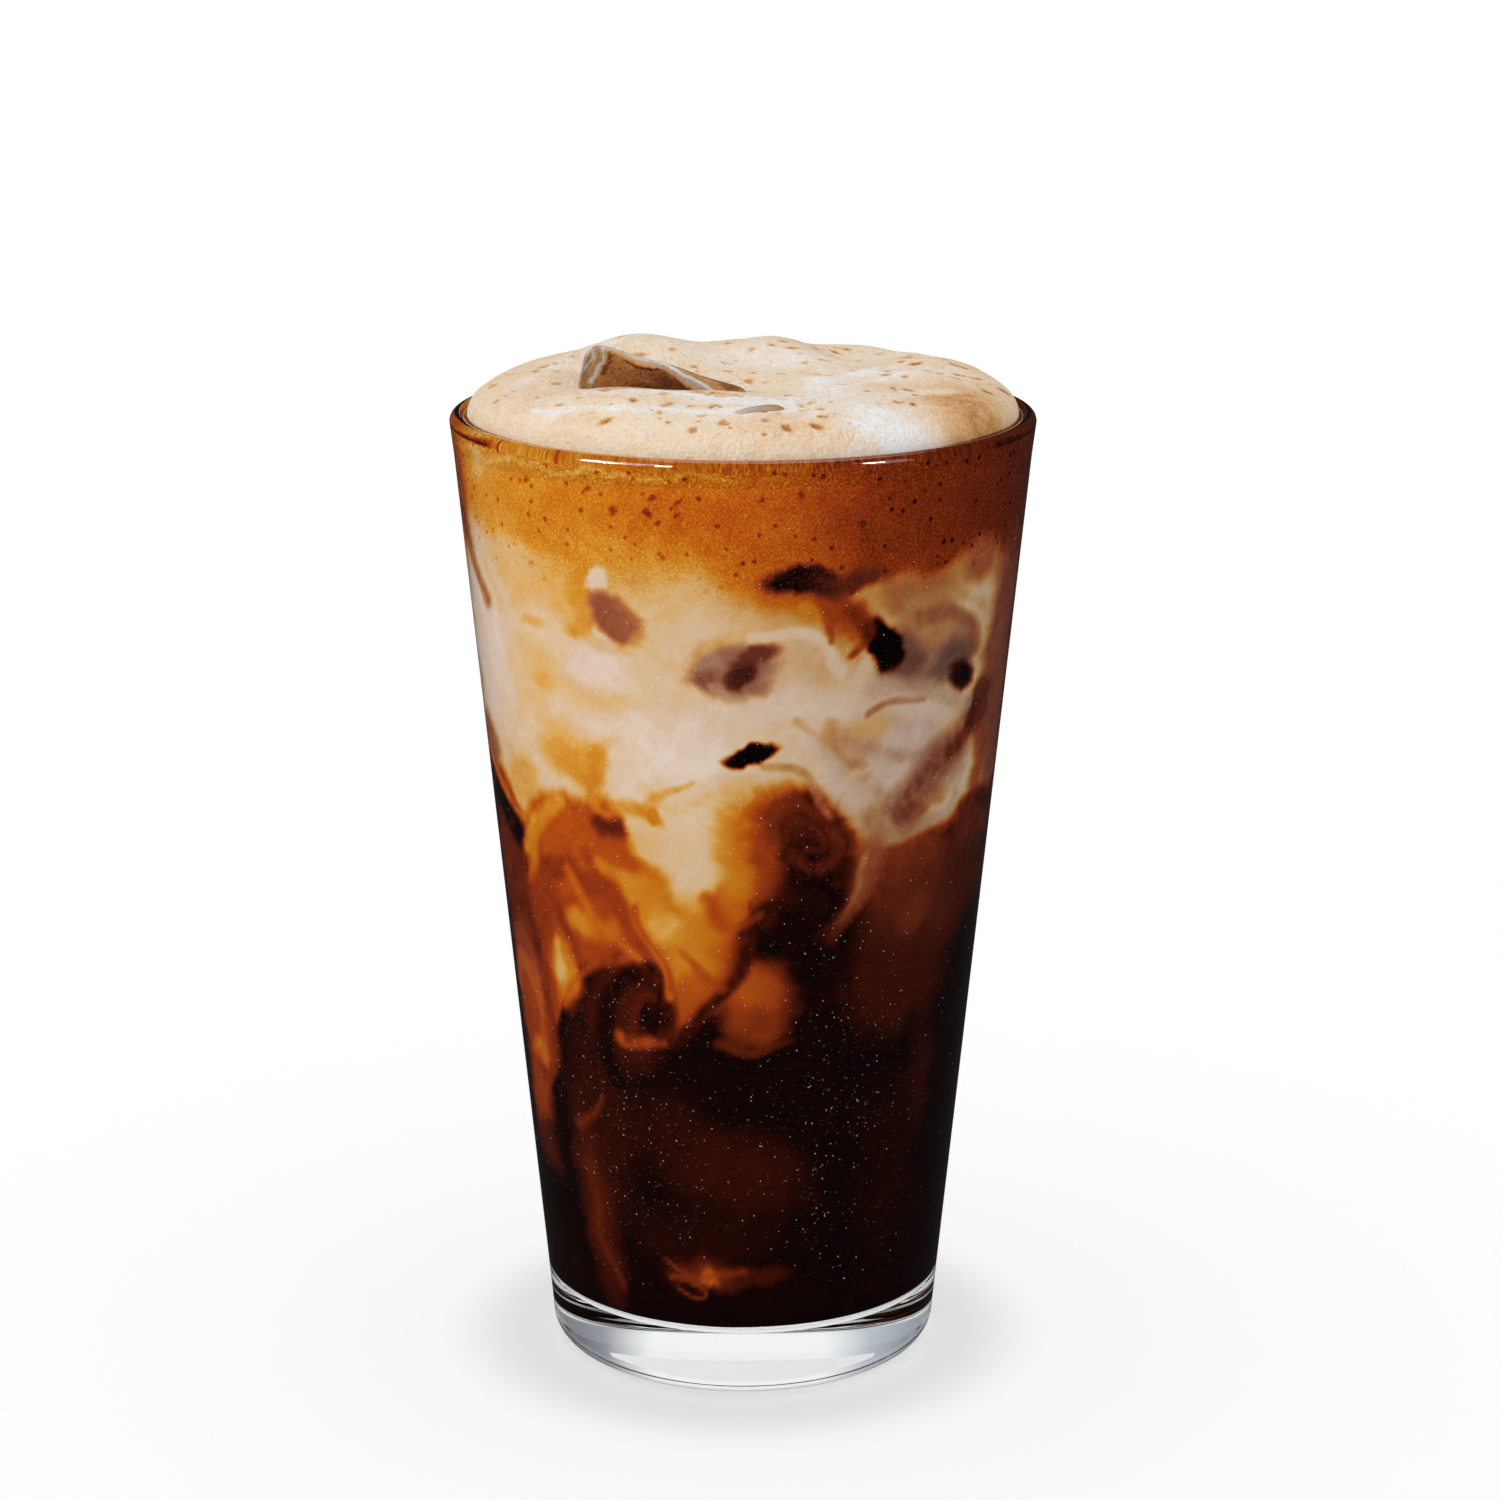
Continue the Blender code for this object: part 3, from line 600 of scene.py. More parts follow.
# %% Ribbons on the wall
RIBBONS = (
    (((-79, 133.5), (-76, 131), (-73, 128), (-70, 124.5)), (1.8, 1.4), 0.26, 0.5, 0.75, 0.7),
    (((-54, 118), (-40, 114.5), (-28, 111.5), (-16, 109)), (1.4, 1.0), 0.75, 0.1, 0.55, 0.8),
    (((-50, 107), (-38, 104.8), (-29, 106.5)), (1.0, 0.8), 0.72, 0.0, 0.6, 0.8),
    (((-44, 110), (-32, 108.5), (-20, 104.5), (-8, 103)), (1.2, 0.9), 0.98, 0.6, 0.6, 0.8),
    (((-24, 121), (-14, 118.6), (-9, 121.5), (0, 124.4)), (0.8, 0.8), 0.76, 0.0, 0.6, 0.8),
    (((-40, 124), (-33, 121), (-24, 118.5)), (0.9, 0.6), 0.70, 0.0, 0.6, 0.8),
    (((-22, 98), (-14, 96.5), (-7, 98.5), (0, 101.5)), (0.9, 0.7), 0.76, 0.0, 0.6, 0.8),
    (((-8, 110), (4, 108.4), (14, 109.6), (24, 113.6)), (0.8, 0.7), 0.82, 0.1, 0.5, 0.8),
    (((22, 108), (32, 103), (44, 102), (54, 104)), (1.0, 0.9), 0.58, 0.8, 0.6, 0.8),
    (((26, 100), (34, 96.5), (38, 92.5)), (0.9, 1.0), 0.60, 0.9, 0.6, 0.8),
    (((36, 125.5), (46, 126.5), (56, 125.5), (62, 121.5)), (0.9, 0.7), 0.66, 0.5, 0.6, 0.8),
    (((-60, 108), (-63, 114), (-60, 121), (-62, 128)), (1.2, 1.0), 0.92, 0.7, 0.6, 0.8),
    (((-88, 92), (-80, 92.3), (-74, 91.2), (-68, 88.8), (-63, 86)), (2.6, 1.4), 0.02, 0.0, 1.0, 0.5),
    (((-80, 97), (-74, 95.8), (-68, 92.8), (-62, 89.8), (-57, 89.8)), (1.0, 0.7), 0.50, 0.0, 0.9, 0.6),
    (((-61, 85), (-57, 88.5), (-51, 92.5), (-44, 95)), (1.5, 0.8), 0.62, 0.0, 0.95, 0.6),
    (((-60, 80), (-58.5, 86)), (1.2, 1.2), 0.58, 0.0, 0.8, 0.8),
    (((-36, 87), (-31, 85), (-26, 82.5), (-23, 80.5)), (0.9, 1.3), 0.56, 0.0, 0.95, 0.6),
    (((-47, 90), (-41, 92), (-36, 90)), (0.9, 0.7), 0.40, 0.0, 0.7, 0.8),
    (((-35, 104), (-34.5, 99), (-31.5, 95.3), (-25, 94.6), (-19, 94.2)),
      (1.5, 1.0), 0.57, 0.0, 0.95, 0.6),
    (((-20, 95.5), (-17, 98.5), (-12, 101)), (0.8, 0.4), 0.60, 0.0, 0.85, 0.7),
    (((-77, 61), (-74, 65.5), (-68, 66), (-63, 61.5), (-61, 56), (-64, 52)),
      (1.3, 1.4), 0.46, 0.1, 0.85, 0.7),
    (((-57, 79), (-58, 69), (-57, 60), (-59, 53), (-64, 46)), (2.2, 1.4), 0.31, 0.0, 0.9, 0.6),
    (((-51, 61.5), (-46, 66.3), (-40, 70.2), (-33, 71.6), (-27, 70.8)), (0.6, 0.8), 0.42, 0.0, 0.8, 0.7),
    (((-33, 59.6), (-30, 57.9), (-25, 57.1), (-20, 58.7), (-15, 61.7), (-9, 65.3)),
      (0.7, 1.2), 0.40, 0.0, 1.0, 0.5),
    (((-19.5, 66), (-18.2, 62.5), (-19.5, 60)), (0.9, 0.9), 0.42, 0.0, 0.9, 0.6),
    (((5, 80), (1.0, 75.0), (-4, 69.5), (-10, 64.2), (-17, 59.0)), (1.5, 1.0), 0.07, 0.0, 1.0, 0.5),
    (((-1, 76), (-5, 71.5), (-10, 67), (-14, 63.5)), (1.0, 0.8), 0.38, 0.0, 0.7, 0.7),
    (((-6, 59.4), (0, 58.0), (6, 57.4), (13, 58.8)), (0.6, 0.5), 0.22, 0.0, 0.9, 0.7),
    (((0, 122.7), (8, 122.6), (15, 121.6), (22, 118)), (0.7, 0.8), 0.95, 0.2, 0.9, 0.6),
    (((-22, 108), (-8, 110.3), (5, 111.2), (20, 112.3), (31, 111.8), (45, 109.5)),
      (2.2, 1.9), 0.94, 0.6, 0.8, 0.6),
    (((17.5, 127), (16.5, 124), (16.8, 122)), (0.8, 0.4), 0.30, 0.0, 0.85, 0.6),
    (((24, 127), (25, 123), (23, 120.5)), (1.4, 0.6), 0.24, 0.0, 0.9, 0.6),
    (((28, 110.2), (35, 111), (43, 110.7)), (0.5, 0.4), 0.38, 0.6, 0.7, 0.7),
    (((19.5, 110), (19, 107.2), (22, 104.4), (26, 102.6)), (0.9, 0.6), 0.52, 0.5, 0.6, 0.7),
    (((12, 109), (16, 107), (17.5, 104.5), (22, 101.8), (27, 100.2)), (0.6, 0.9), 0.56, 0.6, 0.6, 0.7),
    (((15, 105.5), (20, 101.5), (27, 97.5), (31, 92.5)), (1.4, 1.8), 0.86, 0.8, 0.85, 0.6),
    (((3, 103), (11, 101.4), (17, 99), (21, 96)), (0.5, 0.7), 0.52, 0.5, 0.8, 0.7),
    (((34, 89.8), (42, 90.6), (50, 91.7), (56, 93.7), (59, 97.5), (60, 101.5)),
      (1.2, 0.6), 0.76, 0.8, 0.9, 0.6),
    (((64, 108.5), (57, 105), (49, 100.5), (43, 96.5), (40, 93.5)), (2.4, 2.8), 0.25, 0.6, 0.85, 0.7),
    (((62, 107.5), (57, 104.5), (51, 101.5)), (1.2, 0.8), 0.12, 0.3, 0.7, 0.7),
    (((38, 123.4), (48, 123.2), (56, 121.4), (61, 117)), (1.1, 0.8), 0.38, 0.5, 0.7, 0.7),
    (((30, 113.7), (42, 112.4), (50, 110.6), (58, 109.4)), (1.5, 1.2), 0.70, 0.85, 0.85, 0.6),
    (((60, 92.3), (68, 91.3), (78, 91.3), (86, 93)), (1.2, 1.6), 0.12, 0.2, 0.8, 0.7),
    (((31, 93), (30, 87), (27, 81), (22, 77)), (2.2, 1.4), 0.46, 0.5, 0.8, 0.7),
    (((28.5, 88), (27, 83), (24.5, 79)), (0.6, 0.5), 0.60, 0.4, 0.6, 0.7),
    (((16.5, 84), (18, 74), (19, 60), (20, 45)), (4.2, 4.0), 0.04, 0.0, 0.95, 0.6),
    (((6, 91), (8, 95.5), (14, 96.8), (20, 94.5), (21, 90.0), (16, 86.6), (11, 88)),
      (0.7, 0.9), 0.23, 0.1, 0.7, 0.7),
    (((9, 91), (12, 94), (17, 93.2), (17.5, 90.2), (14, 89.4)), (0.5, 0.5), 0.18, 0.0, 0.7, 0.7),
    (((-36, 52), (-37, 60), (-33, 67.5), (-26, 69), (-20.5, 66.5), (-18.5, 62.5), (-21.5, 59.6),
      (-25.5, 61.5)), (1.6, 1.5, 1.1), 0.035, 0.0, 0.95, 0.6),
    (((-29, 58.6), (-27.5, 62.5), (-25, 65), (-22.5, 64.6)), (0.8, 0.5), 0.17, 0.0, 0.9, 0.7),
    (((-46, 84), (-40, 79.5), (-33, 76), (-27, 71)), (0.8, 0.7), 0.52, 0.0, 0.8, 0.7),
    (((-40, 88), (-34, 82.5), (-28, 77.5), (-25, 72)), (0.8, 0.9), 0.30, 0.0, 0.7, 0.7),
    (((-30, 84.5), (-25, 78.5), (-21, 72), (-18.5, 66)), (0.9, 0.7), 0.60, 0.0, 0.85, 0.7),
    (((-26, 79), (-21.5, 73), (-18.5, 67.5)), (0.5, 0.5), 0.30, 0.0, 0.7, 0.7),
    (((-52, 80), (-48, 76), (-46, 71)), (1.2, 1.0), 0.24, 0.0, 0.7, 0.7),
    (((-14, 74), (-10, 70), (-6, 68)), (0.7, 0.6), 0.34, 0.0, 0.7, 0.7),
    (((-9, 83), (-5, 79), (-1, 78), (4, 79.5)), (0.9, 0.7), 0.34, 0.0, 0.8, 0.7),
    (((-41, 48), (-42.5, 44.5), (-49, 42)), (0.5, 0.8), 0.22, 0.0, 0.9, 0.8),
    (((-47, 36), (-45, 27), (-39, 17)), (1.2, 0.7), 0.19, 0.0, 0.8, 0.9),
    (((-21, 21.6), (-16, 20.6), (-11, 20.7), (-5, 21.1), (1, 21.5)), (0.4, 0.6), 0.31, 0.0, 0.8, 0.9),
    (((-22, 18.6), (-19, 19.6), (-14, 19.4), (-12, 18), (-15, 17.1), (-20, 17.4)),
      (0.3, 0.3), 0.30, 0.0, 0.9, 0.8),
)
print(len(RIBBONS), "ribbons")

# %% [markdown]
# The painter takes any set of places on the wall and lays the levels, patches and ribbons on it in order.
# The plane is stirred very slightly first, so that no stroke keeps a drawn-looking edge. The back of the
# glass gets the same kinds of cloud in another arrangement: the front turned round and mirrored, then
# stirred hard, and faded into the front at both sides. Along the very top runs a dark line of painted
# shade, which turns black towards both sides and sits lower there.

# %% The painter
SOFTER = 1.05
PATCH_EDGE = 0.72
WIDER = 1.15


def paint_front(degrees, height, stir, seed):
    """The milk and veil values of the front's strokes, on a plane stirred by the given reach in mm."""
    across = degrees * WALL_MM_PER_DEGREE
    u, v = marbled(across, height, stir, stir * 12 + 6, seed)
    values = paint_levels(u / WALL_MM_PER_DEGREE, v)
    for angle, rise, wide, tall, turn, milk, veil, strength, edge in PATCHES:
        centre = (angle * WALL_MM_PER_DEGREE, rise)
        reach = (wide * WALL_MM_PER_DEGREE, tall)
        dab(values, u, v, centre, reach, turn, PATCH_EDGE * edge, strength, (milk, veil))
    calm_u, calm_v = marbled(across, height, stir * 1.6, stir * 20 + 9, seed + 1, rounds=2)
    fibres = 0.5 + 0.5 * np.sin(u / 0.55 + 2.2 * np.sin(v / 1.9)) * np.sin(v / 0.8 + 1.6 * np.sin(u / 1.4))
    for path, widths, milk, veil, strength, edge in RIBBONS:
        line = [(angle * WALL_MM_PER_DEGREE, rise) for angle, rise in path]
        half = [width * WIDER for width in widths]
        soft = min(1.0, edge * SOFTER)
        draw(values, calm_u, calm_v, line, half, soft, strength, (milk, veil), fibres)
    # painted shade: a dark line along the very top, lower and black towards both sides
    aside = ease(35, 70, np.abs(degrees))
    painted_top_shade = ease(147.9 - 0.9 * aside, 148.1 - 0.8 * aside, height)
    values[0] = toward(values[0], 0.10 * (1.0 - aside), painted_top_shade)
    return values


def paint_wall(degrees, height):
    """Milk and veil all the way round, for degrees from -180 to 180 and heights in mm."""
    milk, veil = paint_front(degrees, height, 0.45, 3)
    behind = ease(80, 100, np.abs(degrees))
    mirrored = np.where(degrees > 0, 180 - degrees, -180 - degrees)
    back_milk, back_veil = paint_front(mirrored, height, 1.8, 8)
    u, v = marbled(degrees * WALL_MM_PER_DEGREE, height, 2.2, 22, 5)
    wisps = np.sin(u / 1.9 + 2.0 * np.sin(v / 5.1)) * np.sin(v / 2.3 + 1.4 * np.sin(u / 4.3))
    milk, veil = toward(milk, back_milk, behind), toward(veil, back_veil, behind)
    milk = milk + 0.028 * wisps * ease(0.12, 0.5, milk)
    return np.clip(milk, 0.0, 1.0), np.clip(veil, 0.0, 1.0)


sample = paint_wall(np.array([0.0, -40.0]), np.array([140.0, 30.0]))
print("milk at the front of the crema and low on the left:", np.round(sample[0], 2))

# %% [markdown]
# The drink is three pieces, one on another, with the same wavy levels between them as the solids have.
# Each wall reaches a little way into the glass, because a film of air between drink and glass would
# shine like a mirror. The columns stand closer together at the front, where the curls are finest.

# %% Columns and levels that all the layers share
COLUMNS = 560
FRONT_SPACING = 0.62
INTO_WALL = 0.15 * MM
MILK_BASE = 86.0 * MM
CREMA_BASE = 129.5 * MM
FROTH_BASE = 144.5 * MM
FROTH_EDGE = 148.3 * MM
FROTH_RISE = 7.7 * MM

spread = np.linspace(-1.0, 1.0, COLUMNS, endpoint=False)
front_degrees = 180.0 * (FRONT_SPACING * spread + (1.0 - FRONT_SPACING) * spread**3)
drink_angles = np.radians(front_degrees - 90.0)
print("columns", round(360 / COLUMNS * FRONT_SPACING, 2), "degrees apart at the front")


def milk_bed(angle, share):
    """The milk's underside: three broad tongues sink into the coffee, deeper near the wall."""
    tongues = 7.5 * np.sin(3 * angle + 0.6) + 4.5 * np.sin(5 * angle - 1.1) + 2.2 * np.sin(8 * angle + 0.4)
    return MILK_BASE + share**1.5 * tongues * MM


def crema_bed(angle, share):
    """The crema's underside, which hangs in shallow lobes."""
    return CREMA_BASE + share * (2.2 * np.sin(2 * angle + 1.9) + 1.6 * np.sin(5 * angle + 0.5)) * MM


def froth_bed(angle, share):
    """The line between the golden crema and the pale froth."""
    return FROTH_BASE + 0.4 * share * np.sin(3 * angle) * MM


def coffee_floor(angle, share):
    """The flat floor that the coffee stands on."""
    return FLOOR_HEIGHT - INTO_WALL + 0.0 * angle * share


# %% Layers of the drink


def wall_rows(low, high, count):
    """The radius and height of rows up the wall of the glass, each a little way into it."""
    heights = [low + (high - low) * share for share in np.linspace(0.0, 1.0, count)]
    return [(bore_radius(z) + INTO_WALL, z) for z in heights]


def grid_of(rows):
    """Rows of radius and height as the points of a grid that goes round the axis."""
    radius, height = (np.stack([row[k] for row in rows]) for k in (0, 1))
    return around(radius, height, drink_angles)


def drink_grid(bed, roof, wall_count):
    """Rings out along the bed, rows up the wall, and the same rings back in along the roof."""
    low, high = bed(drink_angles, 1.0), roof(drink_angles, 1.0)
    bed_rows = [(bore_radius(low) * share, bed(drink_angles, share)) for share in RINGS]
    roof_rows = [(bore_radius(high) * share, roof(drink_angles, share)) for share in RINGS[::-1]]
    return grid_of(bed_rows + wall_rows(low, high, wall_count) + roof_rows)


def painted(piece):
    """Gives each of a piece's points its milk and veil, and how far it is foam or the pale underside."""
    x, y, z = points_of(piece)
    milk, veil = paint_wall(np.degrees(np.arctan2(x, -y)), z / MM)
    underside = ease(FLOOR_HEIGHT + 0.4 * MM, FLOOR_HEIGHT - 0.1 * MM, z)
    milk = toward(milk, 1.0, underside)
    give_values(piece, "milk", milk)
    give_values(piece, "veil", toward(veil, 1.0, underside))
    give_values(piece, "foam", ease(126, 134, z / MM))
    give_values(piece, "underside", underside)
    return milk


RINGS = np.linspace(0.15, 0.97, 5)
layers = {
    "cold_coffee": ("espresso", coffee_floor, milk_bed, 158, "espresso_coffee"),
    "milk_swirl": ("milk", milk_bed, crema_bed, 150, "milk_cloud"),
    "crema_band": ("crema", crema_bed, froth_bed, 90, "golden_crema"),
}
drink = {}
for name, (node, bed, roof, wall_count, slot_name) in layers.items():
    grid = drink_grid(bed, roof, wall_count)
    drink[name] = closed_piece(name, grid, (0, 0, bed(0.0, 0.0)), (0, 0, roof(0.0, 0.0)))
    drink[name].data.set_sharp_from_angle(angle=radians(50))
    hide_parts(node)
    milk = painted(drink[name])
    print(name, "is", round(float(milk.mean()) * 100), "percent milk on average")

# %% [markdown]
# One recipe colours all of the drink. The milk value runs through two ramps: a warm one, where light comes
# through thin milk as amber and orange, and a cool one, where ice behind it keeps it grey and brown, which
# also serves the painted shade on the right side. The veil value mixes them. Fine cloudiness and grain are
# added to the milk value itself, so they shift the colour along the ramp, as real mixing does, and never
# tint it evenly. Only the foam has bubbles: small cells with dark centres.
#
# The underside of the coffee is pale and glows a little. On the real glass the thick foot gathers light
# from the bright table, which a render reaches only with great effort.

# %% The drink's colours
WARM = (
    (0.00, (5, 1, 1)), (0.04, (20, 4, 2)), (0.09, (58, 15, 5)), (0.17, (92, 30, 10)),
    (0.27, (132, 48, 16)), (0.36, (170, 66, 20)), (0.45, (194, 92, 20)), (0.54, (207, 123, 25)),
    (0.63, (216, 150, 44)), (0.73, (226, 176, 88)), (0.83, (226, 192, 140)), (0.92, (227, 203, 171)),
    (1.00, (232, 215, 199)),
)
COOL = (
    (0.00, (12, 5, 5)), (0.12, (44, 26, 22)), (0.27, (88, 58, 48)), (0.42, (130, 96, 82)),
    (0.57, (160, 126, 108)), (0.72, (192, 158, 140)), (0.87, (220, 196, 182)), (1.00, (234, 217, 208)),
)
UNDERSIDE_GLOW = 0.45


def stirred_milk(tree, grain, bubbles, cloudy):
    """The painted milk value, with clouds and grain added and, under foam, the dark centres of bubbles."""
    place = own_place(tree)
    foam = attribute(tree, "foam")
    clouds = noise(tree, place, 260.0, 8.0, Roughness=0.62, Distortion=1.5)
    milk = shifted(tree, attribute(tree, "milk"), clouds, 0.5, cloudy)
    milk = shifted(tree, milk, noise(tree, place, 2600.0, 1.0), 0.5, grain)
    milk = shifted(tree, milk, cell_distance(tree, place, 3300.0), 0.45,
                   maths(tree, "MULTIPLY", foam, bubbles))
    hole = add_node(tree, "ShaderNodeMapRange",
                    inputs={"Value": cell_distance(tree, place, 430.0), "From Min": 0.21,
                            "From Max": 0.12, "To Min": 0.0, "To Max": -0.20}).outputs["Result"]
    return maths(tree, "ADD", milk, maths(tree, "MULTIPLY", hole, foam), clamp=True)


def drink_finish(name, grain, bubbles, cloudy):
    """Coffee and milk behind glass: the two ramps, mixed by the veil, and the underside's glow."""
    made, tree, shader = finish(name, Roughness=0.4, IOR=1.33, Specular_IOR_Level=0.0,
                                Emission_Color=(0.80, 0.95, 1.0, 1.0))
    milk = stirred_milk(tree, grain, bubbles, cloudy)
    colour = blended(tree, attribute(tree, "veil"), ramp(tree, milk, WARM), ramp(tree, milk, COOL))
    tree.links.new(colour, shader.inputs["Base Color"])
    glow = maths(tree, "MULTIPLY", attribute(tree, "underside"), UNDERSIDE_GLOW)
    tree.links.new(glow, shader.inputs["Emission Strength"])
    return made


DRINK_LOOKS = {
    # grain, bubbles and cloudiness
    "cold_coffee": ("espresso_coffee", 0.035, 0.0, 0.05),
    "milk_swirl": ("milk_cloud", 0.08, 0.25, 0.20),
    "crema_band": ("golden_crema", 0.17, 0.20, 0.13),
}
for name, look in DRINK_LOOKS.items():
    drink[name].data.materials.append(drink_finish(*look))
print("finishes:", [piece.data.materials[0].name for piece in drink.values()])

# %% [markdown]
# The froth is whipped by the shaker. It stands out of the glass as a soft pillow with a steep shoulder,
# broad heaps, and a hollow where the ice has melted through. Its skin carries fine bubbles everywhere
# and a few larger ones, which are pits in the mesh here and not only shading.

# %% Shape of the froth
FROTH_SHOULDER = 4.86
FROTH_FULLNESS = 0.45
FROTH_DISH = 0.22
FROTH_HEAPS = (
    # x, y, spread and rise in mm
    (-15, 13, 11, 3.5), (6, 16, 9, 2.6), (-16, -24, 9, 1.3), (29, 10, 9, 0.8), (4, -12, 7, -1.2),
    (17, 18, 7, -2.1),
)


def froth_top(x, y):
    """A pillow whose shoulder falls as a power of the distance out, with heaps and ripples on it."""
    share = np.clip(np.hypot(x, y) / bore_radius(FROTH_EDGE), 0.0, 1.0)
    pillow = (1.0 - share**FROTH_SHOULDER) ** FROTH_FULLNESS
    height = FROTH_EDGE + FROTH_RISE * pillow * (1.0 - FROTH_DISH * (1.0 - share**2))
    heaps = 0.35 * np.sin(x * 330 + 2.0 * np.sin(y * 150)) * np.cos(y * 260 + 1.3)
    for hx, hy, span, rise in FROTH_HEAPS:
        heaps = heaps + rise * np.exp(-((x / MM - hx) ** 2 + (y / MM - hy) ** 2) / span**2)
    return height + heaps * MM * pillow


FROTH_RINGS = np.sin(np.pi / 2 * np.linspace(0.012, 1.0, 150))[:-1]
froth_reach = bore_radius(FROTH_EDGE)
froth_x = froth_reach * FROTH_RINGS[:, None] * np.cos(drink_angles)
froth_y = froth_reach * FROTH_RINGS[:, None] * np.sin(drink_angles)
froth_z = froth_top(froth_x, froth_y)
print("froth skin from", round(froth_z.min() / MM, 1), "to", round(froth_z.max() / MM, 1), "mm high")

# %% Bubbles in the froth
BUBBLES = 1000
BUBBLE_REACH = 39.5 * MM
FRONT_BUBBLES = 110
FRONT_LINE = -20.6 * MM


def bubble_pits(x, y, seed):
    """Round pits with a raised lip: at each, a dip that turns into a lip one radius out and dies away.

    Every third bubble has burst and shows wet coffee, so it leaves a stain too, wider than it is deep.
    The last ones crowd along the front of the large ice cube, and each of them leaves a stain, which
    darkens a band there.
    """
    dice = np.random.default_rng(seed)
    depth = np.zeros(x.shape)
    stain = np.zeros(x.shape)
    for number in range(BUBBLES + FRONT_BUBBLES):
        angle = dice.uniform(0, 2 * np.pi)
        out = BUBBLE_REACH * np.sqrt(dice.uniform())
        size = dice.uniform(0.2, 0.80) ** 1.7 * MM
        long = dice.uniform(1.0, 2.0)
        turn = dice.uniform(0, np.pi)
        at_x, at_y = out * np.cos(angle), out * np.sin(angle)
        if number >= BUBBLES:
            size = dice.uniform(0.24, 0.44) * MM
            at_x = dice.uniform(-21.0, 0.0) * MM
            at_y = FRONT_LINE - abs(dice.normal(0.0, 0.8)) * MM
        near_x, near_y = x - at_x, y - at_y
        near = (np.abs(near_x) < 5 * size) & (np.abs(near_y) < 5 * size)
        along = (near_x[near] * np.cos(turn) + near_y[near] * np.sin(turn)) / long
        across = near_y[near] * np.cos(turn) - near_x[near] * np.sin(turn)
        far = np.hypot(along, across) / size
        depth[near] -= 0.55 * size * (1.0 - far**2) * np.exp(-(far**2) * 1.4)
        if number % 3 == 0 or number >= BUBBLES:
            stain[near] = np.maximum(stain[near], np.exp(-(far**4) * 0.6))
    return depth, stain


pits, stains = bubble_pits(froth_x, froth_y, 12)
froth_z = froth_z + pits * np.clip((1.0 - FROTH_RINGS[:, None]) * 12, 0.0, 1.0)
print("deepest pit", round(-pits.min() / MM, 2), "mm")

# %% [markdown]
# Each piece of ice has melted itself a pocket. The skin follows it: wherever a plumb line goes through
# the ice, the froth sinks to just inside the ice's lower faces. A plumb line meets a turned box between
# two heights, one for each pair of faces, so the pocket's floor is the highest of the three entries.

# %% Pockets under the ice
ICE_PIECES = {
    "ice_cube": ((-13.1, -10.6, 150.1), (25.0, 19.0, 15.0), (-12, 17, 3), 12.0),
    "ice_corner": ((1.6, -31.0, 149.5), (11.5, 10.0, 9.5), (-32, -6, 30), 4.0),
}
POCKET_INSET = 1.3
POCKET_DEPTH = 5.0


def turn_matrix(turns):
    """Turns about X, then Y, then Z, in degrees, as one matrix."""
    (ca, cb, cc), (sa, sb, sc) = np.cos(np.radians(turns)), np.sin(np.radians(turns))
    about_x = np.array([[1, 0, 0], [0, ca, -sa], [0, sa, ca]])
    about_y = np.array([[cb, 0, sb], [0, 1, 0], [-sb, 0, cb]])
    about_z = np.array([[cc, -sc, 0], [sc, cc, 0], [0, 0, 1]])
    return about_z @ about_y @ about_x


def plumb_span(x, y, centre, size, turns):
    """The lowest and highest place of a turned box on the plumb line through x and y, all in mm."""
    frame_turn = turn_matrix(turns)
    low, high = np.full(x.shape, -1e3), np.full(x.shape, 1e3)
    for axis in range(3):
        across = (x - centre[0]) * frame_turn[0, axis] + (y - centre[1]) * frame_turn[1, axis]
        steep = frame_turn[2, axis]
        half = size[axis] / 2 - POCKET_INSET
        ends = np.stack([(-half - across) / steep, (half - across) / steep])
        low, high = np.maximum(low, ends.min(0)), np.minimum(high, ends.max(0))
    return centre[2] + low, centre[2] + high


pocket_depth = np.zeros(froth_x.shape)
for centre, size, turns, _ in ICE_PIECES.values():
    floor_line, roof_line = plumb_span(froth_x / MM, froth_y / MM, centre, size, turns)
    inside = (floor_line < froth_z / MM) & (roof_line > froth_z / MM)
    sunk = np.clip(froth_z / MM - floor_line, 0.0, POCKET_DEPTH) * inside
    pocket_depth = np.maximum(pocket_depth, sunk)
froth_z = froth_z - pocket_depth * MM
print("deepest pocket", round(pocket_depth.max(), 1), "mm")

# %% The froth as a piece
bed_reach = np.full(COLUMNS, bore_radius(FROTH_BASE))
bed_rows = [(bed_reach * share, froth_bed(drink_angles, share)) for share in RINGS]
under = grid_of(bed_rows + wall_rows(froth_bed(drink_angles, 1.0), FROTH_EDGE, 10))
skin = np.stack([froth_x, froth_y, froth_z], axis=-1)[::-1]
froth_grid = np.concatenate([under, skin])
froth = closed_piece("froth_cap", froth_grid, (0, 0, FROTH_BASE), (0, 0, froth_z[0].mean()))
froth.data.set_sharp_from_angle(angle=radians(60))
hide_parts("froth")

# %% [markdown]
# The froth's colour is painted from above in the same way: one tone from 0, wet brown foam, to 1, white
# milk foam. Milk was poured last, so it lies in white streaks round the ice and in one spill at the
# front, on a ground of pale beige that turns browner towards the right.

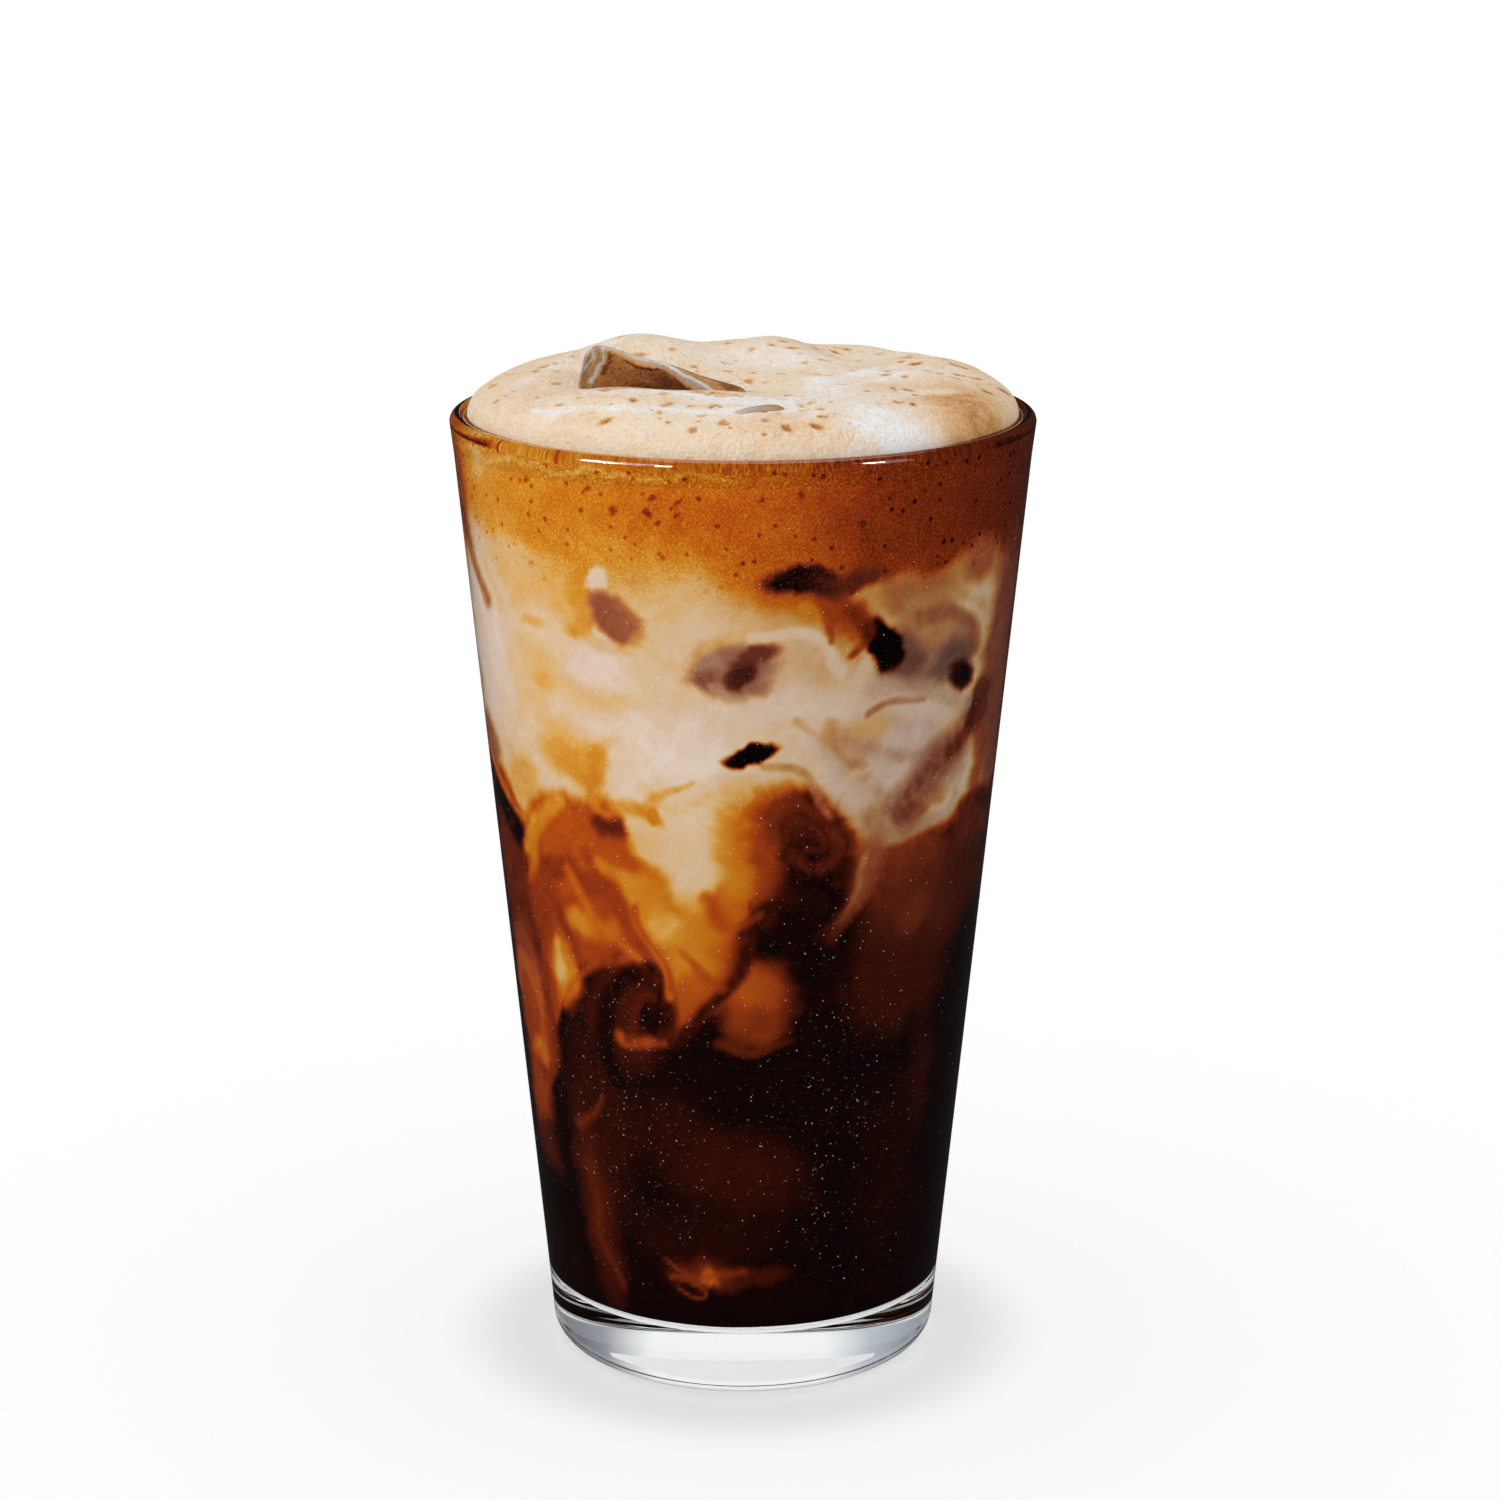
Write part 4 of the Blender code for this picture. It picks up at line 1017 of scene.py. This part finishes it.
# %% Tones of the froth
FROTH_PATCHES = (
    # x, y, reach x, reach y, turn, tone, strength, edge
    (-30, -6, 14, 20, 0, 0.68, 0.6, 0.8), (36, -6, 8, 26, -8, 0.66, 0.8, 0.7),
    (34, -21, 7, 10, 30, 0.30, 0.85, 0.7), (0, 30, 30, 12, 0, 0.74, 0.6, 0.8),
    (-24, 30, 8, 4, -30, 0.55, 0.5, 0.8), (20, -33, 6.5, 5.0, 15, 1.00, 0.9, 0.6),
    (14, -14, 3.5, 11, 12, 0.97, 0.7, 0.8), (17, -21, 4, 8, 0, 0.90, 0.6, 0.8),
    (-25, -2, 3, 10, 0, 0.84, 0.5, 0.8), (-5, 8, 12, 4, 10, 0.92, 0.6, 0.8),
    (24, -3, 10, 3, 20, 0.96, 0.6, 0.9), (5, -39, 22, 3.0, 0, 0.66, 0.5, 0.8),
    (-9, -23.0, 13, 2.6, -3, 0.98, 0.9, 0.7), (2, -27, 8, 4.5, -10, 1.00, 0.9, 0.7),
    (12, 9, 10, 4, 20, 0.95, 0.6, 0.9), (8, -36, 6, 2, 20, 0.62, 0.6, 0.8),
    (-18, -32, 7, 2.5, -20, 0.66, 0.5, 0.8), (22, -14, 6, 4, 30, 0.70, 0.6, 0.9),
)
FROTH_RIBBONS = (
    (((-30, -24), (-20, -30), (-9, -32), (1, -33), (9, -28)), (0.9, 1.6, 1.2), 0.98, 0.7, 0.9),
    (((6, -24), (9, -14), (14, -4), (22, 4)), (1.6, 2.0), 0.98, 0.7, 0.9),
    (((9, -34), (12, -24), (14, -12), (11, -4)), (1.0, 1.2), 0.94, 0.6, 0.9),
    (((-26, -20), (-18, -27), (-8, -29.5), (2, -31.5)), (0.5, 0.5), 0.60, 0.5, 0.9),
    (((-33, -8), (-28, 4), (-18, 14), (-6, 18)), (1.4, 1.4), 0.90, 0.5, 0.9),
    (((14, -30), (20, -22), (30, -14)), (1.2, 1.6), 0.92, 0.6, 0.9),
)


def paint_froth(x, y):
    """The tone of the froth at a place in mm, seen from above."""
    u, v = marbled(x, y, 0.5, 11, 21)
    tone = 0.77 + 0.05 * np.sin(u / 5.0 + np.sin(v / 6.0)) * np.sin(v / 4.2)
    values = [tone]
    for px, py, wide, tall, turn, shade, strength, edge in FROTH_PATCHES:
        dab(values, u, v, (px, py), (wide, tall), turn, edge, strength, (shade,))
    for path, widths, shade, strength, edge in FROTH_RIBBONS:
        draw(values, u, v, path, widths, edge, strength, (shade,))
    return np.clip(values[0], 0.0, 1.0)


def on_skin(values, count):
    """Values of the skin's grid set among all the points, which end with the skin and two poles."""
    shown = np.zeros(count)
    shown[-values.size - 2:-2] = values[::-1].ravel()
    return shown


painted(froth)
fx, fy, fz = points_of(froth)
froth_tone = paint_froth(fx / MM, fy / MM)
stain_depth = 0.44 + 0.16 * ease(8.0, 34.0, fx / MM)
stained = froth_tone - stain_depth * on_skin(stains, len(fx))
froth_tone = np.maximum(stained, np.minimum(froth_tone, 0.24))
froth_tone = froth_tone - 1.2 * ease(0.2, 1.6, on_skin(pocket_depth, len(fx)))
# painted shade: the froth darkens where its skin sinks below 149 mm, a dark line where it meets the glass
froth_tone = froth_tone - 0.7 * ease(149.0, 148.4, fz / MM)
give_values(froth, "tone", np.clip(froth_tone, 0.0, 1.0))
give_values(froth, "open", ease(148.1, 148.5, fz / MM))
print("froth tones painted on", len(fx), "points")

# %% [markdown]
# Froth is matt and scatters light inside. Where it lies against the glass it is wet and shows the same
# gold as the crema, so the finish goes from the drink's ramps to the froth's own ramp as the skin comes
# out of the glass. Fine cells in the bump stand for the bubbles that are too small for the mesh.

# %% Froth finish
FROTH_TONES = (
    (0.00, (72, 38, 20)), (0.18, (150, 94, 50)), (0.34, (206, 146, 80)), (0.55, (228, 188, 142)),
    (0.72, (238, 211, 179)), (0.86, (240, 224, 206)), (1.00, (242, 241, 240)),
)


def froth_finish():
    """The drink's colours against the glass, froth tones in the open, with cells, specks and bumps."""
    made, tree, shader = finish("pale_froth", Roughness=0.55, IOR=1.35)
    place = own_place(tree)
    cells = cell_distance(tree, place, 1700.0)
    drifts = noise(tree, place, 210.0, 6.0, Roughness=0.6, Distortion=1.6)
    specks = noise(tree, place, 2100.0, 4.0, Roughness=0.75)
    tone = shifted(tree, attribute(tree, "tone"), specks, 0.5, 0.46)
    tone = shifted(tree, tone, cells, 0.45, 0.12)
    tone = shifted(tree, tone, drifts, 0.5, 0.42, clamp=True)
    at_glass = ramp(tree, stirred_milk(tree, 0.16, 0.28, 0.10), WARM)
    in_the_open = attribute(tree, "open")
    colour = blended(tree, in_the_open, at_glass, ramp(tree, tone, FROTH_TONES))
    tree.links.new(colour, shader.inputs["Base Color"])
    wet_gloss = maths(tree, "MULTIPLY", in_the_open, 0.45)
    tree.links.new(wet_gloss, shader.inputs["Specular IOR Level"])
    relief = maths(tree, "ADD", cells, maths(tree, "MULTIPLY", specks, 0.9))
    relief = maths(tree, "ADD", relief, maths(tree, "MULTIPLY", drifts, 1.4))
    add_bumps(tree, shader, relief, 0.8, 0.4 * MM)
    return made


froth.data.materials.append(froth_finish())
print("froth finish on", froth.name)

# %% [markdown]
# Two pieces of ice stand out of the froth. A melted cube is a box whose corners have gone, and the
# radius of such a box in any direction has a short formula: add a power of each of the direction's
# three parts, each measured against the half size, and take the root. A high power, 12, keeps the cube
# nearly square. The small corner has melted further, so its power is 4. Directions are spread over a
# sphere as a grid of longitudes and latitudes.

# %% Ice


def melted_box(size, power, rows=170, columns=320):
    """Points of a box with melted corners about its own centre: each direction times its radius."""
    rise = np.radians(np.linspace(-90, 90, rows + 2)[1:-1])[:, None]
    turn = np.linspace(0, 2 * np.pi, columns, endpoint=False)[None, :]
    way = np.stack(np.broadcast_arrays(np.cos(rise) * np.cos(turn), np.cos(rise) * np.sin(turn),
                                       np.sin(rise) + 0 * turn), axis=-1)
    half = np.array(size) / 2
    radius = (np.abs(way / half) ** power).sum(-1) ** (-1.0 / power)
    return way * radius[..., None], half


def ice_piece(name, centre, size, turns, power):
    """A melted box with slow dents, turned and set in the froth. The cube has grooves at its left end."""
    form, half = melted_box(size, power)
    a, b, c = (form[..., k] / half[k] for k in range(3))
    dents = 0.02 * np.sin(3.1 * a + 1.3 * b) * np.cos(2.7 * c + a)
    dents = dents + 0.010 * np.sin(9 * b + 3 * c) * np.cos(7 * a)
    groove_depth = 0.008 if name == "ice_cube" else 0.0
    grooves = groove_depth * np.sin(22 * b + 7 * c) * ease(0.75, 0.95, -a)
    form = form * (0.965 - 0.03 * (1.0 - a * a) + dents + grooves)[..., None]
    ice_turn = turn_matrix(turns)
    turned = form @ ice_turn.T + np.array(centre)
    pole = ice_turn @ np.array([0, 0, half[2]])
    piece = closed_piece("melting_" + name, turned * MM, (centre - pole) * MM, (centre + pole) * MM)
    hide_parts(name)
    return piece, a, b, c


ice = {name: ice_piece(name, *shape) for name, shape in ICE_PIECES.items()}

# %% [markdown]
# Coffee and foam cling to the ice. The front face of the large cube is coated with fine brown foam, a dark
# patch of painted shade lies under its right half, a milky fin of clear ice runs down above that, its grey
# sheen partly a painted reflection of the sky, a thin bluish-white painted highlight follows its top edge,
# and froth has slid over its top. Pale and dark stripes at its left end are painted highlights and shade on
# its grooves. These are painted along the cube's length and height, each from -1 to 1, with two values: how
# thick and opaque each layer is, and its tone from 0, black coffee, to 1, bluish white.

# %% Coatings and painted light on the ice
CUBE_PATCHES = (
    # along, height, reaches, turn, coating, tone, strength, edge
    (-0.45, 0.50, 0.62, 0.62, 0, 0.95, 0.24, 1.0, 0.25),
    # painted shade: the second patch on the line below, near black under the cube's right half
    (-0.60, 0.75, 0.14, 0.10, 0, 0.80, 0.36, 0.7, 0.8), (0.45, 0.42, 0.72, 0.16, 5, 0.90, 0.02, 1.0, 0.5),
    (0.20, 0.38, 0.20, 0.05, 6, 0.95, 0.22, 0.8, 0.6),
    (0.15, 0.60, 0.40, 0.14, -12, 0.90, 0.10, 0.8, 0.6),
    (-0.34, 0.90, 0.20, 0.10, -8, 0.95, 0.42, 0.9, 0.4),
    (-0.95, 0.50, 0.13, 0.90, 0, 0.45, 0.42, 0.9, 0.4),
    (-0.60, 1.08, 0.55, 0.17, -3, 1.00, 0.84, 0.9, 0.7),
    (0.98, 0.50, 0.20, 0.34, 0, 0.95, 0.74, 0.9, 0.8),
)
CUBE_RIBBONS = (
    # the milky fin: grey, partly a painted reflection of the sky on the cube's glossy top
    (((-0.22, 0.98), (0.10, 0.88), (0.40, 0.72), (0.72, 0.62), (1.0, 0.56)),
      (0.06, 0.13, 0.10), 0.70, 0.66, 1.0, 0.4),
    (((0.05, 1.04), (0.35, 0.98), (0.68, 0.82), (1.0, 0.68)), (0.05, 0.08, 0.06), 0.85, 0.46, 0.8, 0.6),
    # painted highlight: a thin bluish-white line along the cube's top edge
    (((-0.45, 1.04), (-0.15, 1.0), (0.22, 0.87), (0.62, 0.70), (0.85, 0.63)),
      (0.03, 0.035), 0.75, 0.98, 0.9, 0.6),
    (((-0.60, 0.80), (-0.38, 0.76), (-0.16, 0.83)), (0.015, 0.025), 0.95, 0.04, 0.8, 0.5),
    # painted highlights and shade: two pale stripes and one dark stripe on the grooves at the cube's left
    # end
    (((-0.88, 0.98), (-0.86, 0.55), (-0.93, 0.20)), (0.015, 0.03), 0.60, 0.98, 0.8, 0.5),
    (((-0.97, 0.90), (-0.99, 0.50)), (0.02, 0.02), 0.60, 0.92, 0.7, 0.5),
    (((-0.78, 0.92), (-0.80, 0.40)), (0.015, 0.02), 0.90, 0.05, 0.6, 0.5),
)


def paint_ice_coat_and_light(name, a, b, c):
    """Two values for every point: the cube's are painted, and the small corner pales towards its top."""
    if name == "ice_corner":
        cloud = 0.5 + 0.5 * np.sin(5 * a + 2 * b) * np.cos(4 * c - a)
        upper = ease(-0.9, 0.1, b + 0.4 * c - 0.3 * a)
        return 0.70 + 0.25 * upper, 0.46 + 0.10 * cloud + 0.34 * upper
    u, v = marbled(a, c + 0.35 * np.clip(b + 1.0, 0.0, 2.0), 0.012, 0.5, 8)
    values = [np.full(a.shape, 0.6), 0.30 + 0.2 * ease(-0.8, 0.2, b)]
    for along, height, wide, tall, turn, coat_and_painted_light, tone, strength, edge in CUBE_PATCHES:
        dab(values, u, v, (along, height), (wide, tall), turn, edge, strength, (coat_and_painted_light, tone))
    for path, widths, coat_and_painted_light, tone, strength, edge in CUBE_RIBBONS:
        draw(values, u, v, path, widths, edge, strength, (coat_and_painted_light, tone))
    on_top = ease(-0.75, -0.35, b) * ease(0.55, 0.9, c)
    lay(values, np.full(a.shape, True), on_top.ravel(), (1.0, 0.80))
    return values


for name, (piece, a, b, c) in ice.items():
    coat_and_painted_light, tone = paint_ice_coat_and_light(name, a, b, c)
    for label, value in (("coat_and_painted_light", coat_and_painted_light), ("tone", tone)):
        ends = [value[0].mean(), value[-1].mean()]
        give_values(piece, label, np.concatenate([value.ravel(), ends]))
    print(piece.name, "coat_and_painted_light", round(float(coat_and_painted_light.mean()), 2), "tone", round(float(tone.mean()), 2))

# %% Ice finish
ICE_TONES = (
    (0.00, (30, 15, 9)), (0.16, (104, 56, 30)), (0.30, (158, 98, 54)), (0.46, (206, 154, 96)),
    (0.62, (178, 158, 144)), (0.80, (222, 200, 176)), (1.00, (236, 240, 248)),
)


def ice_finish():
    """Wet ice: clear where nothing coats it, and elsewhere foam, coffee, painted shade and painted
    highlights in grains of their own tone.
    """
    made, tree, shader = finish("clear_ice", Roughness=0.10, IOR=1.31)
    place = own_place(tree)
    grain = noise(tree, place, 2400.0)
    cloud = noise(tree, place, 160.0, 3.0)
    tone = shifted(tree, attribute(tree, "tone"), grain, 0.5, 0.32)
    tone = shifted(tree, tone, cloud, 0.5, 0.2, clamp=True)
    tree.links.new(ramp(tree, tone, ICE_TONES), shader.inputs["Base Color"])
    clear = maths(tree, "SUBTRACT", 1.0, attribute(tree, "coat_and_painted_light"), clamp=True)
    tree.links.new(clear, shader.inputs["Transmission Weight"])
    relief = maths(tree, "ADD", cloud, maths(tree, "MULTIPLY", grain, 0.4))
    add_bumps(tree, shader, relief, 0.35, 0.6 * MM)
    return made


ice_skin = ice_finish()
for piece, *_ in ice.values():
    piece.data.materials.append(ice_skin)
print("ice finish on", sorted(ice))

# %% [markdown]
# Cold glass gathers a fine mist. Each droplet is a low dome of a few faces, and a few thousand of them
# are one mesh. They lie thickest in two patches low on the left and right of the middle, and in a broad
# one across the milk.

# %% Mist on the glass
DROPLETS = 3600
MIST_LOW = 18
MIST_HIGH = 142
MIST_PATCHES = (
    # degrees round, height, spread round, spread up, share of the droplets
    (-34, 52, 26, 36, 0.30), (26, 50, 22, 34, 0.22), (-4, 60, 60, 44, 0.14), (2, 107, 56, 24, 0.34),
)


def mist(seed):
    """A seeded draw of places in the patches, and at each a dome of 7 points laid on the glass."""
    dice = np.random.default_rng(seed)
    counts = [int(DROPLETS * share) for *_, share in MIST_PATCHES]
    degrees = np.concatenate([dice.normal(angle, wide * 0.6, n)
                              for (angle, _, wide, _, _), n in zip(MIST_PATCHES, counts)])
    height = np.concatenate([dice.normal(rise, tall * 0.6, n)
                             for (_, rise, _, tall, _), n in zip(MIST_PATCHES, counts)])
    kept = (height > MIST_LOW) & (height < MIST_HIGH)
    degrees, height = degrees[kept], height[kept] * MM
    size = (0.022 + 0.062 * dice.uniform(0, 1, len(height)) ** 5) * MM
    angle = np.radians(degrees - 90.0)
    out = np.stack([np.cos(angle), np.sin(angle), 0 * angle], axis=-1)
    side = np.stack([-np.sin(angle), np.cos(angle), 0 * angle], axis=-1)
    slope = (RIM_RADIUS - FOOT_RADIUS) / (GLASS_HEIGHT - HEEL_RADIUS)
    up = out * slope + np.array([0.0, 0.0, 1.0])
    foot = out * outer_radius(height)[:, None] + np.array([0.0, 0.0, 1.0]) * height[:, None]
    ring = np.radians(np.arange(6) * 60.0)
    base = foot[:, None] + size[:, None, None] * (np.cos(ring)[None, :, None] * side[:, None]
                                                  + np.sin(ring)[None, :, None] * up[:, None])
    base = base - 0.02 * MM * out[:, None]
    tip = foot + out * size[:, None] * 0.6
    points = np.concatenate([base, tip[:, None]], axis=1).reshape(-1, 3)
    first = np.arange(len(height))[:, None, None] * 7
    around_ring = np.stack([np.arange(6), (np.arange(6) + 1) % 6, np.full(6, 6)], axis=-1)
    under_ring = np.array([(0, 2, 1), (0, 3, 2), (0, 4, 3), (0, 5, 4)])
    return points, (first + np.concatenate([around_ring, under_ring])[None]).reshape(-1, 3)


mist_points, mist_faces = mist(31)
droplets = mesh_piece("mist_droplets", mist_points, np.empty((0, 4), int), mist_faces)
droplets.visible_shadow = False

# %% Droplet finish


def glinting_droplet_finish():
    """Painted glints on wet specks: almost white and glowing a little, glossy, slightly uneven."""
    made, tree, shader = finish("mist_droplet", Roughness=0.12, IOR=1.33,
                                Emission_Color=(1.0, 1.0, 1.0, 1.0), Emission_Strength=0.30)
    tone = noise(tree, own_place(tree), 400.0)
    colour = ramp(tree, tone, ((0.3, (170, 172, 180)), (0.7, (232, 233, 238))))
    tree.links.new(colour, shader.inputs["Base Color"])
    return made


droplets.data.materials.append(glinting_droplet_finish())
print("droplet finish on", droplets.name)

# %% [markdown]
# The studio is plain. Its floor is a sheet of pale paper that reaches past the picture, laid a hair below
# the glass. Bright paper lights itself from all sides, so it glows a little. Close to the foot it glows
# less: a painted shadow that deepens the soft shadow that the drink stands in.

# %% Floor
FLOOR_REACH = 8.0
FLOOR_SIDES = 64
FLOOR_DROP = 0.05 * MM
rings = np.concatenate([[0.02], np.geomspace(0.05, FLOOR_REACH, 40)])
floor_mesh = bpy.data.meshes.new("floor")
floor_turns = np.linspace(0, 2 * np.pi, FLOOR_SIDES, endpoint=False)
floor_points = around(rings[:, None], 0.0 * rings[:, None] - FLOOR_DROP, floor_turns).reshape(-1, 3)
floor_points = np.concatenate([floor_points, [(0, 0, -FLOOR_DROP)]])
spoke = np.arange(FLOOR_SIDES)
middle = np.full(FLOOR_SIDES, len(floor_points) - 1)
fan = np.stack([middle, spoke, (spoke + 1) % FLOOR_SIDES], axis=-1)
floor_faces = grid_faces(len(rings), FLOOR_SIDES)[:, ::-1].tolist() + fan.tolist()
floor_mesh.from_pydata(floor_points.tolist(), [], floor_faces)
floor = bpy.data.objects.new("floor", floor_mesh)
bpy.context.scene.collection.objects.link(floor)
floor.visible_glossy = False
paper, paper_tree, paper_shader = finish("floor_paper", Base_Color=(0.80, 0.80, 0.80, 1.0), Roughness=0.9,
                                         Emission_Color=(1.0, 1.0, 1.0, 1.0), Specular_IOR_Level=0.0)
away = add_node(paper_tree, "ShaderNodeVectorMath", {"operation": "LENGTH"}, {0: own_place(paper_tree)})
# painted shadow: the paper's glow falls from 0.52 to 0.27 closer than 5 cm to the axis, round the foot
glow = add_node(paper_tree, "ShaderNodeMapRange", {"interpolation_type": "SMOOTHSTEP"},
                inputs={"Value": away.outputs["Value"], "From Min": 0.030, "From Max": 0.050,
                        "To Min": 0.27, "To Max": 0.52})
paper_tree.links.new(glow.outputs["Result"], paper_shader.inputs["Emission Strength"])
floor_mesh.materials.append(paper)
print("floor", FLOOR_REACH, "m to its edge")

# %% [markdown]
# Three broad soft lamps shape the drink: one high on the left, a weaker one on the right and another above
# and behind. They spare the floor. Paper this bright shows no cast shadow, only the soft darkening under
# and round the foot, where the glass hides part of the sky and the painted shadow in the paper's glow
# deepens it.

# %% Lamps
spared = bpy.data.collections.new("spared_by_the_lamps")
spared.objects.link(floor)
spared.collection_objects[0].light_linking.link_state = "EXCLUDE"


def lamp(name, place, aim, size, power):
    """A flat soft lamp at a place, facing the aim."""
    light = bpy.data.lights.new(name, "AREA")
    light.shape = "RECTANGLE"
    light.size, light.size_y = size
    light.energy = power
    made = bpy.data.objects.new(name, light)
    made.light_linking.receiver_collection = spared
    way = np.array(aim, float) - np.array(place, float)
    made.location = place
    flat = np.hypot(way[0], way[1])
    made.rotation_euler = (np.arctan2(flat, -way[2]), 0.0, np.arctan2(-way[0], way[1]))
    bpy.context.scene.collection.objects.link(made)


lamp("key", (-1.05, -0.75, 0.95), (0, 0, 0.08), (0.7, 0.7), 10.2)
lamp("fill", (1.2, -0.7, 0.8), (0, 0, 0.08), (0.5, 0.9), 3.3)
lamp("top", (0.1, 0.5, 1.3), (0, 0, 0.1), (0.8, 0.8), 4)

# %% [markdown]
# The sky is white to look at and even in what it lights. Glass shows what surrounds it, so for light that
# passes through glass the sky is darker at both sides, which draws the dark edges of the rim and foot.
#
# The short white dashes on the rim are small windows that the rounded edge of the glass mirrors. Lamps in
# their place would light the drink too. So they are small bright rectangles of sky, which only a sharp
# mirrored ray can see. Each is given by the direction of its middle and by its half sizes.

# %% Strips of sky
STRIPS = (((-1.27, -0.73, 0.77), 0.140, 0.060), ((-0.72, -1.10, 0.77), 0.052, 0.066),
          ((1.09, -0.74, 0.77), 0.072, 0.066))
STRIP_BRIGHTNESS = 190.0


def part_along(tree, way, axis):
    """How much of the way points along an axis: their dot product."""
    made = add_node(tree, "ShaderNodeVectorMath", {"operation": "DOT_PRODUCT"}, {0: way, 1: axis.tolist()})
    return made.outputs["Value"]


def strip_of_sky(tree, way, middle, wide, tall):
    """1 where the way points to the middle's side and its parts across and up are within the half sizes."""
    middle = np.array(middle) / np.linalg.norm(middle)
    across = np.cross((0.0, 0.0, 1.0), middle)
    across = across / np.linalg.norm(across)
    inside = maths(tree, "GREATER_THAN", part_along(tree, way, middle), 0.0)
    for axis, half in ((across, wide), (np.cross(middle, across), tall)):
        off_middle = maths(tree, "ABSOLUTE", part_along(tree, way, axis), 0.0)
        inside = maths(tree, "MULTIPLY", inside, maths(tree, "LESS_THAN", off_middle, half))
    return inside


print(len(STRIPS), "strips of sky for the rim to mirror")

# %% Sky
LIGHTING_SKY = 0.62
MIRRORED_SKY = 0.02
THROUGH_GLASS = (
    # from the far left of the sky to its far right
    (0.10, (140, 146, 160)), (0.26, (190, 194, 202)), (0.36, (250, 250, 250)),
    (0.66, (250, 250, 250)), (0.77, (150, 152, 160)), (0.90, (104, 105, 114)),
)


def background(tree, colour, strength):
    """Sky of one colour and strength."""
    inputs = {"Color": colour, "Strength": strength}
    return add_node(tree, "ShaderNodeBackground", inputs=inputs).outputs["Background"]


def sky():
    """White for the camera, softer for what it lights, darker at both sides for what glass shows."""
    world = bpy.data.worlds.new("studio")
    bpy.context.scene.world = world
    world.use_nodes = True
    tree = world.node_tree
    tree.nodes.clear()
    way = add_node(tree, "ShaderNodeTexCoord").outputs["Generated"]
    parts = add_node(tree, "ShaderNodeSeparateXYZ", inputs={"Vector": way})
    aside = maths(tree, "ADD", maths(tree, "MULTIPLY", parts.outputs["X"], 0.5), 0.5)
    path = add_node(tree, "ShaderNodeLightPath")
    white = (1.0, 1.0, 1.0, 1.0)
    strips = 0.0
    for middle, wide, tall in STRIPS:
        strips = maths(tree, "ADD", strips, strip_of_sky(tree, way, middle, wide, tall))
    strips = maths(tree, "MULTIPLY", strips, path.outputs["Is Singular Ray"])
    mirrored = maths(tree, "ADD", maths(tree, "MULTIPLY", strips, STRIP_BRIGHTNESS), MIRRORED_SKY)
    mixed = background(tree, white, LIGHTING_SKY)
    for ray, sky_part in (("Is Glossy Ray", background(tree, white, mirrored)),
                          ("Is Transmission Ray", background(tree, ramp(tree, aside, THROUGH_GLASS), 1.0)),
                          ("Is Camera Ray", background(tree, white, 1.0))):
        inputs = {0: path.outputs[ray], 1: mixed, 2: sky_part}
        mixed = add_node(tree, "ShaderNodeMixShader", inputs=inputs).outputs["Shader"]
    add_node(tree, "ShaderNodeOutputWorld", inputs={"Surface": mixed})


sky()
bpy.context.scene.view_settings.view_transform = "Standard"
print("sky and view set")
